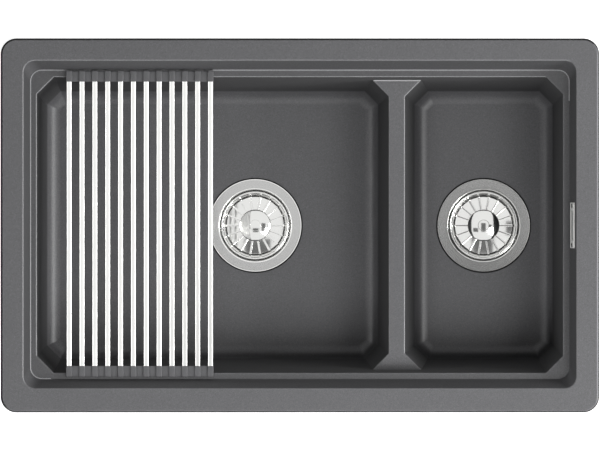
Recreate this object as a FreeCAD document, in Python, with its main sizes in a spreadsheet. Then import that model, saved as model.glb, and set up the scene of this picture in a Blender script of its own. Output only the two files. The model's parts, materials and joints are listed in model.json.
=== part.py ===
import FreeCAD, Part
import os
import Sketcher
from FreeCAD import Vector

# A double bowl kitchen sink cast in dark stone composite, seen from above in the photograph: a raised rim, a
# recess with a ledge, a large and a small bowl with a low divider, a basket strainer waste in each bowl, an
# overflow in the right end wall, and a roll-up drying rack that lies on the ledge. Under the bowls the two wastes
# join in one outlet. Millimetres, +Z up, +X to the right and +Y to the back; the origin is the centre of the sink
# in the plane of the worktop, which is the underside of the rim.

# ---------------------------------------------------------------- driving dimensions: name, size, what it is
DIMENSIONS = [
    ("sink_length", 720.0, "overall length of the rim"),
    ("sink_width", 450.0, "overall width of the rim"),
    ("rim_height", 10.0, "thickness of the rim above the worktop"),
    ("rim_corner_radius", 19.0, "outer corner of the rim in plan"),
    ("rim_edge_radius", 3.0, "rounded upper edge of the rim"),
    ("rim_end", 27.3, "flat width of the rim at each end"),
    ("rim_back", 26.5, "flat width of the rim at the back"),
    ("rim_front", 29.0, "flat width of the rim at the front"),
    ("recess_depth", 32.0, "rim top down to the ledge"),
    ("recess_corner_radius", 15.0, "upper corner of the recess in plan"),
    ("recess_edge_radius", 1.4, "rounded lip of the recess"),
    ("lean_end", 7.8, "how far the recess wall leans out at the ends"),
    ("lean_side", 11.0, "how far the recess wall leans out at front and back"),
    ("ledge_end", 8.0, "width of the ledge at the ends"),
    ("ledge_back", 8.8, "width of the ledge at the back"),
    ("ledge_front", 7.5, "width of the ledge at the front"),
    ("ledge_edge_radius", 1.2, "rounded edges of the ledge and the divider"),
    ("block_wall", 5.5, "wall beside the recess, just under the rim"),
    ("bowl_depth", 200.0, "rim top down to the floor of the bowls"),
    ("end_slope", 0.063, "lean of the bowl ends, per mm of depth"),
    ("side_slope", 0.099, "lean of the bowl sides, per mm of depth"),
    ("divider_slope", 0.097, "lean of the divider's faces, per mm of depth"),
    ("corner_cut", 20.5, "leg of the bowl's cut corner at the ledge"),
    ("floor_cut", 16.5, "leg of the bowl's cut corner at the floor"),
    ("corner_soften", 2.0, "rounding of the upright bowl corners"),
    ("floor_radius", 17.0, "rounding between bowl wall and floor"),
    ("wall", 8.0, "bowl wall thickness"),
    ("floor_thickness", 9.0, "bowl floor thickness"),
    ("right_bowl", 190.3, "length of the right bowl at its mouth"),
    ("divider_width", 19.5, "flat top of the divider"),
    ("divider_drop", 35.0, "ledge down to the divider's top"),
    ("divider_web", 20.0, "solid depth of the divider"),
    ("left_drain_offset", 161.3, "divider to the left drain's axis"),
    ("rebate_depth", 3.0, "step in the floor that takes the flange"),
    ("rebate_gap", 1.8, "gap between the flange and the step"),
    ("drain_gap", 1.0, "gap between the strainer cup and its hole"),
    ("flange_radius", 56.0, "strainer flange"),
    ("sheet", 1.2, "stainless sheet of the strainer cup"),
    ("throat_radius", 42.8, "mouth of the strainer cup"),
    ("throat_roll", 1.6, "rolled lip of the strainer cup"),
    ("cup_straight", 17.0, "floor down to the start of the cup's cone"),
    ("cup_taper", 0.8, "narrowing of the cup's upper wall"),
    ("cone_height", 7.0, "height of the cup's sealing cone"),
    ("seat_radius", 30.0, "foot of the sealing cone"),
    ("cup_floor_radius", 27.5, "flat bottom of the cup"),
    ("cup_depth", 32.0, "floor down to the cup's bottom"),
    ("drain_hole_radius", 4.6, "holes in the cup's bottom"),
    ("drain_hole_circle", 17.0, "circle of those holes"),
    ("drain_hole_count", 6, "number of those holes"),
    ("flange_seal", 1.0, "rubber ring under the flange"),
    ("seal_edge", 1.4, "rubber that shows round the flange"),
    ("body_seal", 2.0, "rubber ring under the sink"),
    ("screw_radius", 5.0, "clamp screw shank"),
    ("screw_head_radius", 8.6, "clamp screw head"),
    ("screw_head", 3.2, "clamp screw head height"),
    ("screw_length", 32.0, "clamp screw below its head"),
    ("screw_slot", 1.8, "slot across the clamp screw's head"),
    ("thread_gap", 0.08, "radial play of screwed and sliding pieces"),
    ("stem_radius", 3.0, "pin under the strainer basket"),
    ("stem_gap", 0.3, "play between that pin and the hollow screw"),
    ("stem_length", 33.0, "pin below the basket"),
    ("collar_radius", 6.0, "shoulder of that pin"),
    ("collar", 2.4, "height of that shoulder"),
    ("basket_radius", 41.4, "rim of the strainer basket"),
    ("basket_sheet", 0.9, "stainless sheet of the basket"),
    ("basket_drop", 3.0, "floor down to the basket's rim"),
    ("basket_lip", 1.7, "flat rim of the basket"),
    ("basket_dish", 13.5, "depth of the basket"),
    ("basket_floor_radius", 35.0, "foot of the basket's wall"),
    ("slot_inner", 17.8, "inner end of the basket's slots"),
    ("slot_outer", 36.2, "outer end of the basket's slots"),
    ("slot_bar", 2.5, "bar between two slots"),
    ("slot_count", 18, "number of slots"),
    ("knob_radius", 19.2, "domed knob of the basket"),
    ("knob_height", 3.4, "height of the knob's dome"),
    ("knob_neck_radius", 8.0, "neck under the knob"),
    ("knob_neck", 4.6, "height of that neck"),
    ("knob_edge", 1.2, "upright edge of the knob"),
    ("badge_radius", 6.6, "plain ring groove on the knob"),
    ("badge_groove", 0.5, "depth of that groove"),
    ("stopper_thickness", 3.0, "rubber stopper under the basket"),
    ("stopper_gap", 0.3, "stopper to sealing cone when pushed down"),
    ("nut_radius", 8.5, "nut that holds the stopper"),
    ("nut_height", 2.8, "height of that nut"),
    ("waste_rim_radius", 54.0, "top flange of the waste body"),
    ("waste_rim", 4.0, "thickness of that flange"),
    ("waste_radius", 46.4, "bore of the waste body"),
    ("plastic", 3.0, "wall of the waste body"),
    ("waste_straight", 26.0, "upright wall of the waste body"),
    ("waste_cone", 22.0, "height of the waste body's cone"),
    ("neck_radius", 23.9, "one and a half inch thread of the waste outlet"),
    ("neck_length", 22.0, "length of that thread"),
    ("neck_bore", 19.4, "bore of the waste outlet"),
    ("boss_wall", 3.4, "boss around the clamp screw"),
    ("boss_top", 40.0, "floor down to the boss"),
    ("boss_height", 26.0, "height of that boss"),
    ("rib_thickness", 3.4, "ribs that hold the boss"),
    ("rib_height", 14.0, "height of those ribs"),
    ("pipe_radius", 20.0, "forty millimetre waste pipe"),
    ("pipe_wall", 2.5, "wall of that pipe"),
    ("pipe_flange", 3.0, "swivel flange of elbow and tee"),
    ("pipe_flange_radius", 23.4, "radius of that flange"),
    ("washer", 1.5, "rubber washer in each waste joint"),
    ("bend_radius", 32.0, "bend of the waste elbow"),
    ("pipe_drop", 14.0, "straight above the elbow's bend"),
    ("socket_radius", 25.4, "threaded socket of elbow and tee"),
    ("socket_length", 21.0, "length of that socket"),
    ("pipe_insert", 17.0, "how far the pipe enters its socket"),
    ("branch_stub", 24.0, "tee axis to its socket"),
    ("outlet_length", 61.0, "tee branch axis down to the spigot's end"),
    ("outlet_spigot", 37.0, "plain end of that spigot, which the trap's nut slides over"),
    ("outlet_collar", 3.0, "collar that stops the trap's nut"),
    ("outlet_collar_radius", 22.6, "radius of that collar"),
    ("grip_radius", 30.0, "ribbed nut of the waste joints"),
    ("grip_lip", 2.6, "inward lip of that nut"),
    ("grip_length", 21.0, "length of that nut"),
    ("grip_rib", 1.6, "radius of a finger rib on a nut"),
    ("grip_count", 12, "finger ribs on each nut"),
    ("cover_length", 55.0, "overflow cover along the wall"),
    ("cover_height", 16.0, "overflow cover up the wall"),
    ("cover_thickness", 1.5, "overflow cover"),
    ("overflow_drop", 16.0, "rim top down to the overflow"),
    ("overflow_slot_length", 38.0, "overflow slot"),
    ("overflow_slot_height", 9.0, "overflow slot"),
    ("overflow_wall", 6.8, "wall at the overflow"),
    ("overflow_seal", 1.0, "gasket behind the overflow"),
    ("overflow_seal_border", 2.2, "gasket around the overflow slot"),
    ("overflow_screw_radius", 1.8, "overflow screw"),
    ("overflow_screw_head", 3.2, "overflow screw's head"),
    ("overflow_screw_length", 14.0, "overflow screw"),
    ("overflow_screw_inset", 3.9, "cover end to the screw's axis"),
    ("head_length", 60.0, "overflow head along the wall"),
    ("head_top_gap", 1.5, "rim underside to the head"),
    ("head_reach", 8.0, "head beyond the sink's side"),
    ("head_gap", 2.0, "head to the sink below the ledge"),
    ("head_relief", 1.0, "relief in the rim's underside over the head"),
    ("head_chamber", 15.0, "height of the head's lower chamber"),
    ("head_wall", 2.0, "wall of the head"),
    ("spigot_wall", 1.5, "wall of the overflow spigots"),
    ("spigot_length", 14.0, "overflow spigots"),
    ("overflow_pipe_radius", 7.0, "overflow pipe"),
    ("overflow_pipe_wall", 1.5, "wall of the overflow pipe"),
    ("overflow_insert", 10.0, "how far that pipe enters its spigots"),
    ("overflow_bend", 30.0, "bend of the overflow pipe"),
    ("inlet_drop", 28.2, "floor down to the overflow inlet"),
    ("small_grip_radius", 11.4, "nut on the overflow pipe"),
    ("small_grip_lip", 2.0, "inward lip of that nut"),
    ("small_grip_length", 12.0, "length of that nut"),
    ("insert_radius", 4.0, "brass insert for the fixing clips"),
    ("insert_bore", 2.5, "thread of that insert"),
    ("insert_length", 8.0, "length of that insert"),
    ("insert_drop", 14.0, "worktop plane down to the inserts"),
    ("insert_from_end", 130.0, "rim end to the inserts at front and back"),
    ("insert_from_side", 115.0, "rim side to the inserts at the ends"),
    ("rod", 5.8, "square tube of the rack"),
    ("rod_wall", 0.7, "wall of that tube"),
    ("rod_corner", 0.9, "rounded edge of that tube"),
    ("rod_pitch", 15.475, "spacing of the rods"),
    ("rod_count", 12, "number of rods"),
    ("rack_start", 43.3, "left end of the ledge to the rack"),
    ("rack_gap_back", 1.2, "rack to the recess wall at the back"),
    ("rack_gap_front", 2.6, "rack to the recess wall at the front"),
    ("rest_gap", 0.3, "rack to the ledge that it lies on"),
    ("sleeve_wall", 0.8, "silicone around a rod's end"),
    ("sleeve_length", 13.2, "silicone sleeve along the rod"),
    ("sleeve_end", 1.4, "closed end of the sleeve"),
    ("sleeve_edge", 0.9, "rounded edge of the sleeve"),
    ("link_thickness", 3.0, "silicone link between two sleeves"),
    ("link_setback", 0.8, "link shorter than its sleeve"),
    ("link_gap", 0.4, "link to the next sleeve"),
]
CORNER_GROWTH = 2 - 2**0.5  # how much a cut corner's leg grows when its octagon is offset by 1


# ---------------------------------------------------------------- sizes that know their formula
class Size:
    """A number together with the formula that ties it to the sheet of driving dimensions."""

    def __init__(self, value, formula=None):
        self.value = value
        self.formula = formula if formula else repr(value)
        self.tied = formula is not None

    def joined(self, sign, other, value, turned=False):
        first, second = (other, self) if turned else (self, other)
        made = Size(value, f"({first.formula} {sign} {second.formula})")
        made.tied = self.tied or other.tied
        return made

    def __add__(self, other):
        other = as_size(other)
        return self.joined("+", other, self.value + other.value)

    def __radd__(self, other):
        return as_size(other) + self

    def __sub__(self, other):
        other = as_size(other)
        return self.joined("-", other, self.value - other.value)

    def __rsub__(self, other):
        return as_size(other) - self

    def __mul__(self, other):
        other = as_size(other)
        return self.joined("*", other, self.value * other.value)

    def __rmul__(self, other):
        return as_size(other) * self

    def __truediv__(self, other):
        other = as_size(other)
        return self.joined("/", other, self.value / other.value)

    def __rtruediv__(self, other):
        return as_size(other) / self

    def __neg__(self):
        return -1 * self

    def root(self):
        return Size(self.value**0.5, f"sqrt({self.formula})")


def as_size(number):
    return number if isinstance(number, Size) else Size(number)


class Sizes:
    """The driving dimensions by name."""

    def __init__(self, sheet):
        for row, (name, value, note) in enumerate(DIMENSIONS, start=1):
            sheet.set(f"A{row}", name)
            sheet.set(f"B{row}", str(value))
            sheet.set(f"C{row}", note)
            sheet.setAlias(f"B{row}", name)
            setattr(self, name, Size(value, f"sizes.{name}"))


doc = FreeCAD.newDocument("double_bowl_sink")
sheet = doc.addObject("Spreadsheet::Sheet", "sizes")
size = Sizes(sheet)
doc.recompute()
nodes = []


def bind(thing, name, amount):
    """Ties one property of an object to its formula."""
    amount = as_size(amount)
    if amount.tied:
        thing.setExpression(name, amount.formula)
    else:
        setattr(thing, name, amount.value)


# ---------------------------------------------------------------- bodies, sketches and features
def new_body(name, x=0, y=0, z=0, kept=True):
    """A body at a place; a kept one is written out under its name."""
    body = doc.addObject("PartDesign::Body", name)
    body.Label = name
    place(body, x, y, z)
    if kept:
        nodes.append(body)
    return body


def place(thing, x, y, z, turn_axis=None, turn=None):
    where = [as_size(amount) for amount in (x, y, z)]
    turned = FreeCAD.Rotation(turn_axis, 0) if turn_axis else FreeCAD.Rotation()
    thing.Placement = FreeCAD.Placement(Vector(*[amount.value for amount in where]), turned)
    for letter, amount in zip("xyz", where):
        if amount.tied:
            thing.setExpression(f"Placement.Base.{letter}", amount.formula)
    if turn:
        thing.setExpression("Placement.Rotation.Angle", turn)


def origin_of(body, role):
    return next(o for o in body.Origin.OriginFeatures if o.Role == role)


def new_sketch(body, role="XY_Plane", away=0):
    """A sketch on one of the body's own planes, moved away along that plane's normal."""
    sketch = body.newObject("Sketcher::SketchObject", "sketch")
    sketch.AttachmentSupport = (origin_of(body, role), "")
    sketch.MapMode = "FlatFace"
    away = as_size(away)
    if away.tied:
        sketch.setExpression("AttachmentOffset.Base.z", away.formula)
    return sketch


def tie(sketch, kind, geometry, point, amount):
    """Holds one coordinate of a point of the sketch, measured from its origin."""
    amount = as_size(amount)
    number = sketch.addConstraint(Sketcher.Constraint(kind, -1, 1, geometry, point, amount.value))
    if amount.tied:
        sketch.setExpression(f"Constraints[{number}]", amount.formula)


def draw_outline(sketch, corners, domes=()):
    """A closed outline through corners; a side listed in domes is an arc centred on the upright axis."""
    first = sketch.GeometryCount
    points = [(as_size(x), as_size(y)) for x, y in corners]
    ends = points[1:] + points[:1]
    for side, (start, end) in enumerate(zip(points, ends)):
        a = Vector(start[0].value, start[1].value, 0)
        b = Vector(end[0].value, end[1].value, 0)
        if side in domes:
            sketch.addGeometry(dome_arc(a, b), False)
        else:
            sketch.addGeometry(Part.LineSegment(a, b), False)
    count = len(points)
    for side in range(count):
        following = first + (side + 1) % count
        sketch.addConstraint(Sketcher.Constraint("Coincident", first + side, 2, following, 1))
    for side, (x, y) in enumerate(points):
        tie(sketch, "DistanceX", first + side, 1, x)
        tie(sketch, "DistanceY", first + side, 1, y)
        if side in domes:
            sketch.addConstraint(Sketcher.Constraint("PointOnObject", first + side, 3, -2))
    return sketch


def dome_arc(outer, top):
    """The arc from a point beside the axis up to a point on it, its centre on the axis."""
    radius = (outer.x**2 + (top.y - outer.y) ** 2) / (2 * (top.y - outer.y))
    centre = Vector(0, top.y - radius, 0)
    circle = Part.Circle(centre, Vector(0, 0, 1), radius)
    return Part.ArcOfCircle(circle, circle.parameter(outer), circle.parameter(top))


def draw_rounded(sketch, left, right, front, back, radius):
    """A rectangle with rounded corners."""
    first = sketch.GeometryCount
    x0, x1, y0, y1, r = [as_size(s).value for s in (left, right, front, back, radius)]
    lines = [
        ((x0 + r, y0), (x1 - r, y0)),
        ((x1, y0 + r), (x1, y1 - r)),
        ((x1 - r, y1), (x0 + r, y1)),
        ((x0, y1 - r), (x0, y0 + r)),
    ]
    centres = [(x1 - r, y0 + r, 270), (x1 - r, y1 - r, 0), (x0 + r, y1 - r, 90), (x0 + r, y0 + r, 180)]
    for (a, b), (cx, cy, start) in zip(lines, centres):
        sketch.addGeometry(Part.LineSegment(Vector(*a, 0), Vector(*b, 0)), False)
        circle = Part.Circle(Vector(cx, cy, 0), Vector(0, 0, 1), r)
        low = start * 3.141592653589793 / 180
        sketch.addGeometry(Part.ArcOfCircle(circle, low, low + 3.141592653589793 / 2), False)
    for corner in range(4):
        line = first + 2 * corner
        next_line = first + (2 * corner + 2) % 8
        sketch.addConstraint(Sketcher.Constraint("Tangent", line, 2, line + 1, 1))
        sketch.addConstraint(Sketcher.Constraint("Tangent", line + 1, 2, next_line, 1))
        sketch.addConstraint(Sketcher.Constraint("Horizontal" if corner % 2 == 0 else "Vertical", line))
        if corner:
            sketch.addConstraint(Sketcher.Constraint("Equal", first + 1, line + 1))
    number = sketch.addConstraint(Sketcher.Constraint("Radius", first + 1, r))
    if as_size(radius).tied:
        sketch.setExpression(f"Constraints[{number}]", as_size(radius).formula)
    tie(sketch, "DistanceY", first, 1, front)
    tie(sketch, "DistanceX", first + 2, 1, right)
    tie(sketch, "DistanceY", first + 4, 1, back)
    tie(sketch, "DistanceX", first + 6, 1, left)
    return sketch


def draw_circle(sketch, radius, x=0, y=0):
    radius, x, y = as_size(radius), as_size(x), as_size(y)
    circle = sketch.addGeometry(Part.Circle(Vector(x.value, y.value, 0), Vector(0, 0, 1), radius.value), False)
    number = sketch.addConstraint(Sketcher.Constraint("Radius", circle, radius.value))
    if radius.tied:
        sketch.setExpression(f"Constraints[{number}]", radius.formula)
    if x.tied or y.tied:
        tie(sketch, "DistanceX", circle, 3, x)
        tie(sketch, "DistanceY", circle, 3, y)
    else:
        sketch.addConstraint(Sketcher.Constraint("Coincident", circle, 3, -1, 1))
    return sketch


def draw_box(sketch, left, right, front, back):
    return draw_outline(sketch, [(left, front), (right, front), (right, back), (left, back)])


def extrude(kind, body, sketch, length, backwards=False, both_ways=False):
    feature = body.newObject(f"PartDesign::{kind}", kind)
    feature.Profile = sketch
    bind(feature, "Length", length)
    feature.Reversed = backwards
    feature.Midplane = both_ways
    return feature


def pad(body, sketch, length, **ways):
    return extrude("Pad", body, sketch, length, **ways)


def pocket(body, sketch, length, **ways):
    return extrude("Pocket", body, sketch, length, **ways)


def revolve(body, corners, domes=(), kind="Revolution"):
    """Turns an upright half section, given as radius and height, about the body's axis."""
    sketch = draw_outline(new_sketch(body, "XZ_Plane"), corners, domes)
    feature = body.newObject(f"PartDesign::{kind}", kind)
    feature.Profile = sketch
    feature.ReferenceAxis = (sketch, ["V_Axis"])
    feature.Angle = 360
    return feature


def sweep(body, kind, section, path):
    feature = body.newObject(f"PartDesign::{kind}", kind)
    feature.Profile = section
    feature.Spine = (path, [])
    return feature


def around(body, feature, count):
    """Repeats one feature in a full circle about the body's axis."""
    doc.recompute()
    pattern = body.newObject("PartDesign::PolarPattern", "around")
    pattern.Originals = [feature]
    pattern.Axis = (origin_of(body, "Z_Axis"), [""])
    pattern.Angle = 360
    pattern.Occurrences = int(count.value)
    if count.tied:
        pattern.setExpression("Occurrences", count.formula)
    body.Tip = pattern
    return pattern


def round_off(body, radius, chosen):
    """Rounds the edges of the body's last feature that the test chooses."""
    doc.recompute()
    base = body.Tip
    names = [f"Edge{n}" for n, edge in enumerate(base.Shape.Edges, start=1) if chosen(edge)]
    if not names:
        raise RuntimeError(f"{body.Label}: no edge to round")
    feature = body.newObject("PartDesign::Fillet", "Fillet")
    feature.Base = (base, names)
    bind(feature, "Radius", radius)
    return feature


def level(edge, z):
    """True where an edge lies flat at one height."""
    box = edge.BoundBox
    return abs(box.ZMin - as_size(z).value) < 0.01 and abs(box.ZMax - as_size(z).value) < 0.01


def together(name, pieces, x=0, y=0, z=0):
    """One node made of several separate solids."""
    group = doc.addObject("Part::Compound", name)
    group.Label = name
    group.Links = pieces
    place(group, x, y, z)
    nodes.append(group)
    return group


# ---------------------------------------------------------------- places that several pieces share
end_x = size.sink_length / 2
side_y = size.sink_width / 2
recess_x = end_x - size.rim_end
recess_back = side_y - size.rim_back
recess_front = -(side_y - size.rim_front)
ledge_x = recess_x - size.lean_end
ledge_rear = recess_back - size.lean_side
ledge_fore = recess_front + size.lean_side
mouth_x = ledge_x - size.ledge_end
mouth_back = ledge_rear - size.ledge_back
mouth_front = ledge_fore + size.ledge_front
block_x = recess_x + size.block_wall
block_back = recess_back + size.block_wall
block_front = recess_front - size.block_wall

ledge_z = size.rim_height - size.recess_depth
divider_z = ledge_z - size.divider_drop
floor_z = size.rim_height - size.bowl_depth
under_z = floor_z - size.floor_thickness
ledge_under_z = ledge_z - size.wall

divider_right = mouth_x - size.right_bowl
divider_left = divider_right - size.divider_width
left_drain_x = divider_left - size.left_drain_offset
divider_foot = divider_right + size.divider_slope * (divider_z - floor_z)
right_drain_x = (divider_foot + mouth_x - size.end_slope * (ledge_z - floor_z)) / 2
DRAINS = (("left", left_drain_x), ("right", right_drain_x))

wall_lean = size.lean_end / size.recess_depth
wall_stretch = (1 + wall_lean * wall_lean).root()
overflow_z = size.rim_height - size.overflow_drop
WALL_TURN = "90 deg - atan(sizes.lean_end / sizes.recess_depth)"
HALF_SLOT_TURN = "180 deg / sizes.slot_count"


def wall_x(z):
    """Where the recess wall stands at a height, at the right end."""
    return recess_x - wall_lean * (size.rim_height - z)


overflow_x = wall_x(overflow_z)
screw_y = size.cover_length / 2 - size.overflow_screw_inset

cup_hole_radius = size.throat_radius + size.sheet + size.drain_gap
flange_top = -(size.rebate_depth - size.flange_seal - size.sheet)
waste_top = -(size.floor_thickness + size.body_seal)
waste_shoulder = waste_top - size.waste_straight
waste_throat = waste_shoulder - size.waste_cone
neck_end = waste_throat - size.neck_length
joint_top = neck_end - size.washer
branch_drop = joint_top - size.pipe_drop - size.bend_radius


# ---------------------------------------------------------------- the sink
def draw_corner_cut(body, turn, wide, deep, top, foot):
    """Slices one upright corner off a block, along a leaning plane at 45 degrees to its sides."""
    cut = new_sketch(body, "XZ_Plane")
    cut.AttachmentOffset = FreeCAD.Placement(Vector(), FreeCAD.Rotation(Vector(0, 1, 0), turn))
    reach = 2 * size.corner_cut + 2 * size.wall
    draw_outline(cut, [(wide, top), (deep, foot), (deep + reach, foot), (wide + reach, top)])
    pocket(body, cut, 2 * size.sink_length, both_ways=True)


def make_bowl_block(which, foot, wall):
    """A block with leaning sides and cut corners: the room in one bowl, or its outside when given a wall."""
    body = new_body(f"{which}_bowl_block", kept=False)
    below = ledge_z - foot
    end, divider, sides = size.end_slope * below, size.divider_slope * below, size.side_slope * below
    over_divider = size.divider_slope * (ledge_z - divider_z)
    if which == "left":
        left, right = -mouth_x - wall, divider_left + over_divider + wall
        left_lean, right_lean = end, divider
    else:
        left, right = divider_right - over_divider - wall, mouth_x + wall
        left_lean, right_lean = divider, end
    front, back = mouth_front - wall, mouth_back + wall
    across = new_sketch(body, "XZ_Plane")
    across_corners = [(left, ledge_z), (left + left_lean, foot), (right - right_lean, foot), (right, ledge_z)]
    draw_outline(across, across_corners)
    pad(body, across, 2 * size.sink_width, both_ways=True)
    beyond = new_sketch(body, "YZ_Plane")
    far = size.sink_width + wall
    draw_outline(beyond, [(back, ledge_z), (back - sides, foot), (far, foot), (far, ledge_z)])
    draw_outline(beyond, [(front, ledge_z), (front + sides, foot), (-far, foot), (-far, ledge_z)])
    pocket(body, beyond, 2 * size.sink_length, both_ways=True)
    shrink = (size.corner_cut - size.floor_cut) * below / (ledge_z - floor_z)
    upper_cut = size.corner_cut + CORNER_GROWTH * wall
    lower_cut = upper_cut - shrink
    diagonal = 2**0.5
    for turn, x, lean, y in (
        (45, right, right_lean, back),
        (135, -left, left_lean, back),
        (-45, right, right_lean, -front),
        (-135, -left, left_lean, -front),
    ):
        upper = (x + y - upper_cut) / diagonal
        lower = (x + y - lean - sides - lower_cut) / diagonal
        draw_corner_cut(body, turn, upper, lower, ledge_z, foot)
    round_off(body, size.floor_radius + wall, lambda edge: level(edge, foot))
    round_off(body, size.corner_soften + wall, bowl_corner)
    return body


def make_saddle_block(foot, wall):
    """The stretch over the divider between the front and back walls, from the ledge down to a height."""
    reach = size.corner_cut + 1 + wall
    body = new_body("saddle_block", kept=False)
    sides = size.side_slope * (ledge_z - foot)
    front, back = mouth_front - wall, mouth_back + wall
    section = new_sketch(body, "YZ_Plane", divider_left - reach)
    draw_outline(section, [(front, ledge_z), (front + sides, foot), (back - sides, foot), (back, ledge_z)])
    pad(body, section, size.divider_width + 2 * reach)
    return body


def make_recess_block():
    """The room in the recess, from the rim's top down to the ledge."""
    body = new_body("recess_block", kept=False)
    top = size.rim_height
    across = new_sketch(body, "XZ_Plane")
    draw_outline(across, [(-recess_x, top), (-ledge_x, ledge_z), (ledge_x, ledge_z), (recess_x, top)])
    pad(body, across, 2 * size.sink_width, both_ways=True)
    far = 2 * size.sink_width
    beyond = new_sketch(body, "YZ_Plane")
    draw_outline(beyond, [(recess_back, top), (ledge_rear, ledge_z), (far, ledge_z), (far, top)])
    draw_outline(beyond, [(recess_front, top), (ledge_fore, ledge_z), (-far, ledge_z), (-far, top)])
    pocket(body, beyond, 2 * size.sink_length, both_ways=True)
    round_off(body, size.recess_corner_radius, lambda edge: steep(edge))
    return body


def bowl_corner(edge):
    """True for a block's upright edges, but for those where the divider's ends meet the front and back walls."""
    top = max((vertex.Point for vertex in edge.Vertexes), key=lambda point: point.z)
    reach = 1.5 * size.corner_cut.value
    by_divider = divider_left.value - reach < top.x < divider_right.value + reach
    at_side = abs(top.y) > min(mouth_back.value, -mouth_front.value) - 1
    return steep(edge) and top.z > ledge_z.value - 0.01 and not (by_divider and at_side)


def steep(edge):
    """True for an edge that runs more up than along."""
    ends = [vertex.Point for vertex in edge.Vertexes]
    if len(ends) < 2:
        return False
    step = ends[1] - ends[0]
    return abs(step.z) > abs(step.x) and abs(step.z) > abs(step.y)


def combine(body, kind, tools):
    doc.recompute()
    feature = body.newObject("PartDesign::Boolean", kind)
    feature.Type = kind
    feature.addObjects(tools)
    return feature


def inside_mouth(edge, z):
    """True for a flat edge at a height, within the mouth that the bowls share."""
    box = edge.BoundBox
    across = max(abs(box.XMin), abs(box.XMax)) < mouth_x.value + 0.1
    return level(edge, z) and across and box.YMin > mouth_front.value - 0.1 and box.YMax < mouth_back.value + 0.1


def divider_edge(edge):
    """True for the edges along the divider's top, not for its ends against the walls."""
    return inside_mouth(edge, divider_z) and edge.BoundBox.YLength > 0.3


def recess_lip(edge):
    box = edge.BoundBox
    return level(edge, size.rim_height) and max(abs(box.XMin), abs(box.XMax)) < recess_x.value + 0.1


def make_sink():
    body = new_body("sink_body")
    rim = draw_rounded(new_sketch(body), -end_x, end_x, -side_y, side_y, size.rim_corner_radius)
    pad(body, rim, size.rim_height)
    round_off(body, size.rim_edge_radius, lambda edge: level(edge, size.rim_height))
    block = new_sketch(body, away=ledge_under_z)
    corner = size.recess_corner_radius + size.block_wall
    draw_rounded(block, -block_x, block_x, block_front, block_back, corner)
    pad(body, block, -ledge_under_z)
    outside = [make_bowl_block(which, under_z, size.wall) for which in ("left", "right")]
    outside.append(make_saddle_block(divider_z - size.divider_web, size.wall))
    combine(body, "Fuse", outside)
    inside = [make_bowl_block(which, floor_z, 0) for which in ("left", "right")]
    inside += [make_saddle_block(divider_z, 0), make_recess_block()]
    combine(body, "Cut", inside)
    round_off(body, size.recess_edge_radius, recess_lip)
    round_off(body, size.ledge_edge_radius, lambda edge: inside_mouth(edge, ledge_z))
    round_off(body, size.ledge_edge_radius, divider_edge)
    sink_holes(body)


def sink_holes(body):
    """The stepped drain holes, the bay and slot of the overflow, and blind holes for the fixing inserts."""
    for _, x in DRAINS:
        step = draw_circle(new_sketch(body, away=floor_z), size.flange_radius + size.rebate_gap, x, 0)
        pocket(body, step, size.rebate_depth)
        hole = draw_circle(new_sketch(body, away=floor_z), cup_hole_radius, x, 0)
        pocket(body, hole, 2 * size.floor_thickness)
    seat = size.overflow_wall * wall_stretch
    bay_foot = ledge_under_z - size.head_gap
    bay = new_sketch(body, "XZ_Plane")
    bay_x = block_x + size.head_reach + size.head_gap
    corners = [
        (wall_x(size.head_relief) + seat, size.head_relief),
        (wall_x(bay_foot) + seat, bay_foot),
        (bay_x, bay_foot),
        (bay_x, size.head_relief),
    ]
    pocket(body, draw_outline(bay, corners), size.head_length + 2 * size.head_gap, both_ways=True)
    holes = overflow_plane(body)
    draw_slot(holes)
    for y in (screw_y, -screw_y):
        draw_circle(holes, size.overflow_screw_radius + size.thread_gap, 0, y)
    pocket(body, holes, 2 * size.overflow_wall)
    for x, y, along in insert_places():
        outward = x if along == "x" else -y
        hole = new_sketch(body, "YZ_Plane" if along == "x" else "XZ_Plane", outward)
        draw_circle(hole, size.insert_radius, y if along == "x" else x, -size.insert_drop)
        pocket(body, hole, size.insert_length, backwards=outward.value < 0)


def insert_places():
    """Where the fixing clips' inserts sit: two in each side of the block."""
    x = end_x - size.insert_from_end
    y = side_y - size.insert_from_side
    return [
        (x, block_back, "y"),
        (-x, block_back, "y"),
        (x, block_front, "y"),
        (-x, block_front, "y"),
        (block_x, y, "x"),
        (block_x, -y, "x"),
        (-block_x, y, "x"),
        (-block_x, -y, "x"),
    ]


def overflow_plane(body, behind=0):
    """A sketch on the leaning recess wall at the overflow, or so far behind it, its normal into the bowl."""
    sketch = new_sketch(body)
    turned = FreeCAD.Rotation(Vector(0, -1, 0), 75)
    sketch.AttachmentOffset = FreeCAD.Placement(Vector(1, 0, 1), turned)
    sketch.setExpression("AttachmentOffset.Rotation.Angle", WALL_TURN)
    sketch.setExpression("AttachmentOffset.Base.x", (overflow_x + behind / wall_stretch).formula)
    sketch.setExpression("AttachmentOffset.Base.z", (overflow_z - behind * wall_lean / wall_stretch).formula)
    return sketch


def draw_slot(sketch):
    """The overflow slot on a sketch whose first axis runs up the wall and whose second runs along it."""
    half_height = size.overflow_slot_height / 2
    half_length = size.overflow_slot_length / 2
    draw_rounded(sketch, -half_height, half_height, -half_length, half_length, half_height * 0.9)


def make_inserts():
    """Brass threaded inserts in the sides of the block, for the clips that pull the sink down on its worktop."""
    pieces = []
    for x, y, along in insert_places():
        body = new_body("insert", x, y, -size.insert_drop, kept=False)
        role = "YZ_Plane" if along == "x" else "XZ_Plane"
        outward = x if along == "x" else -y
        ring = new_sketch(body, role)
        draw_circle(ring, size.insert_radius)
        draw_circle(ring, size.insert_bore)
        pad(body, ring, size.insert_length, backwards=outward.value > 0)
        pieces.append(body)
    together("clip_inserts", pieces)


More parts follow.
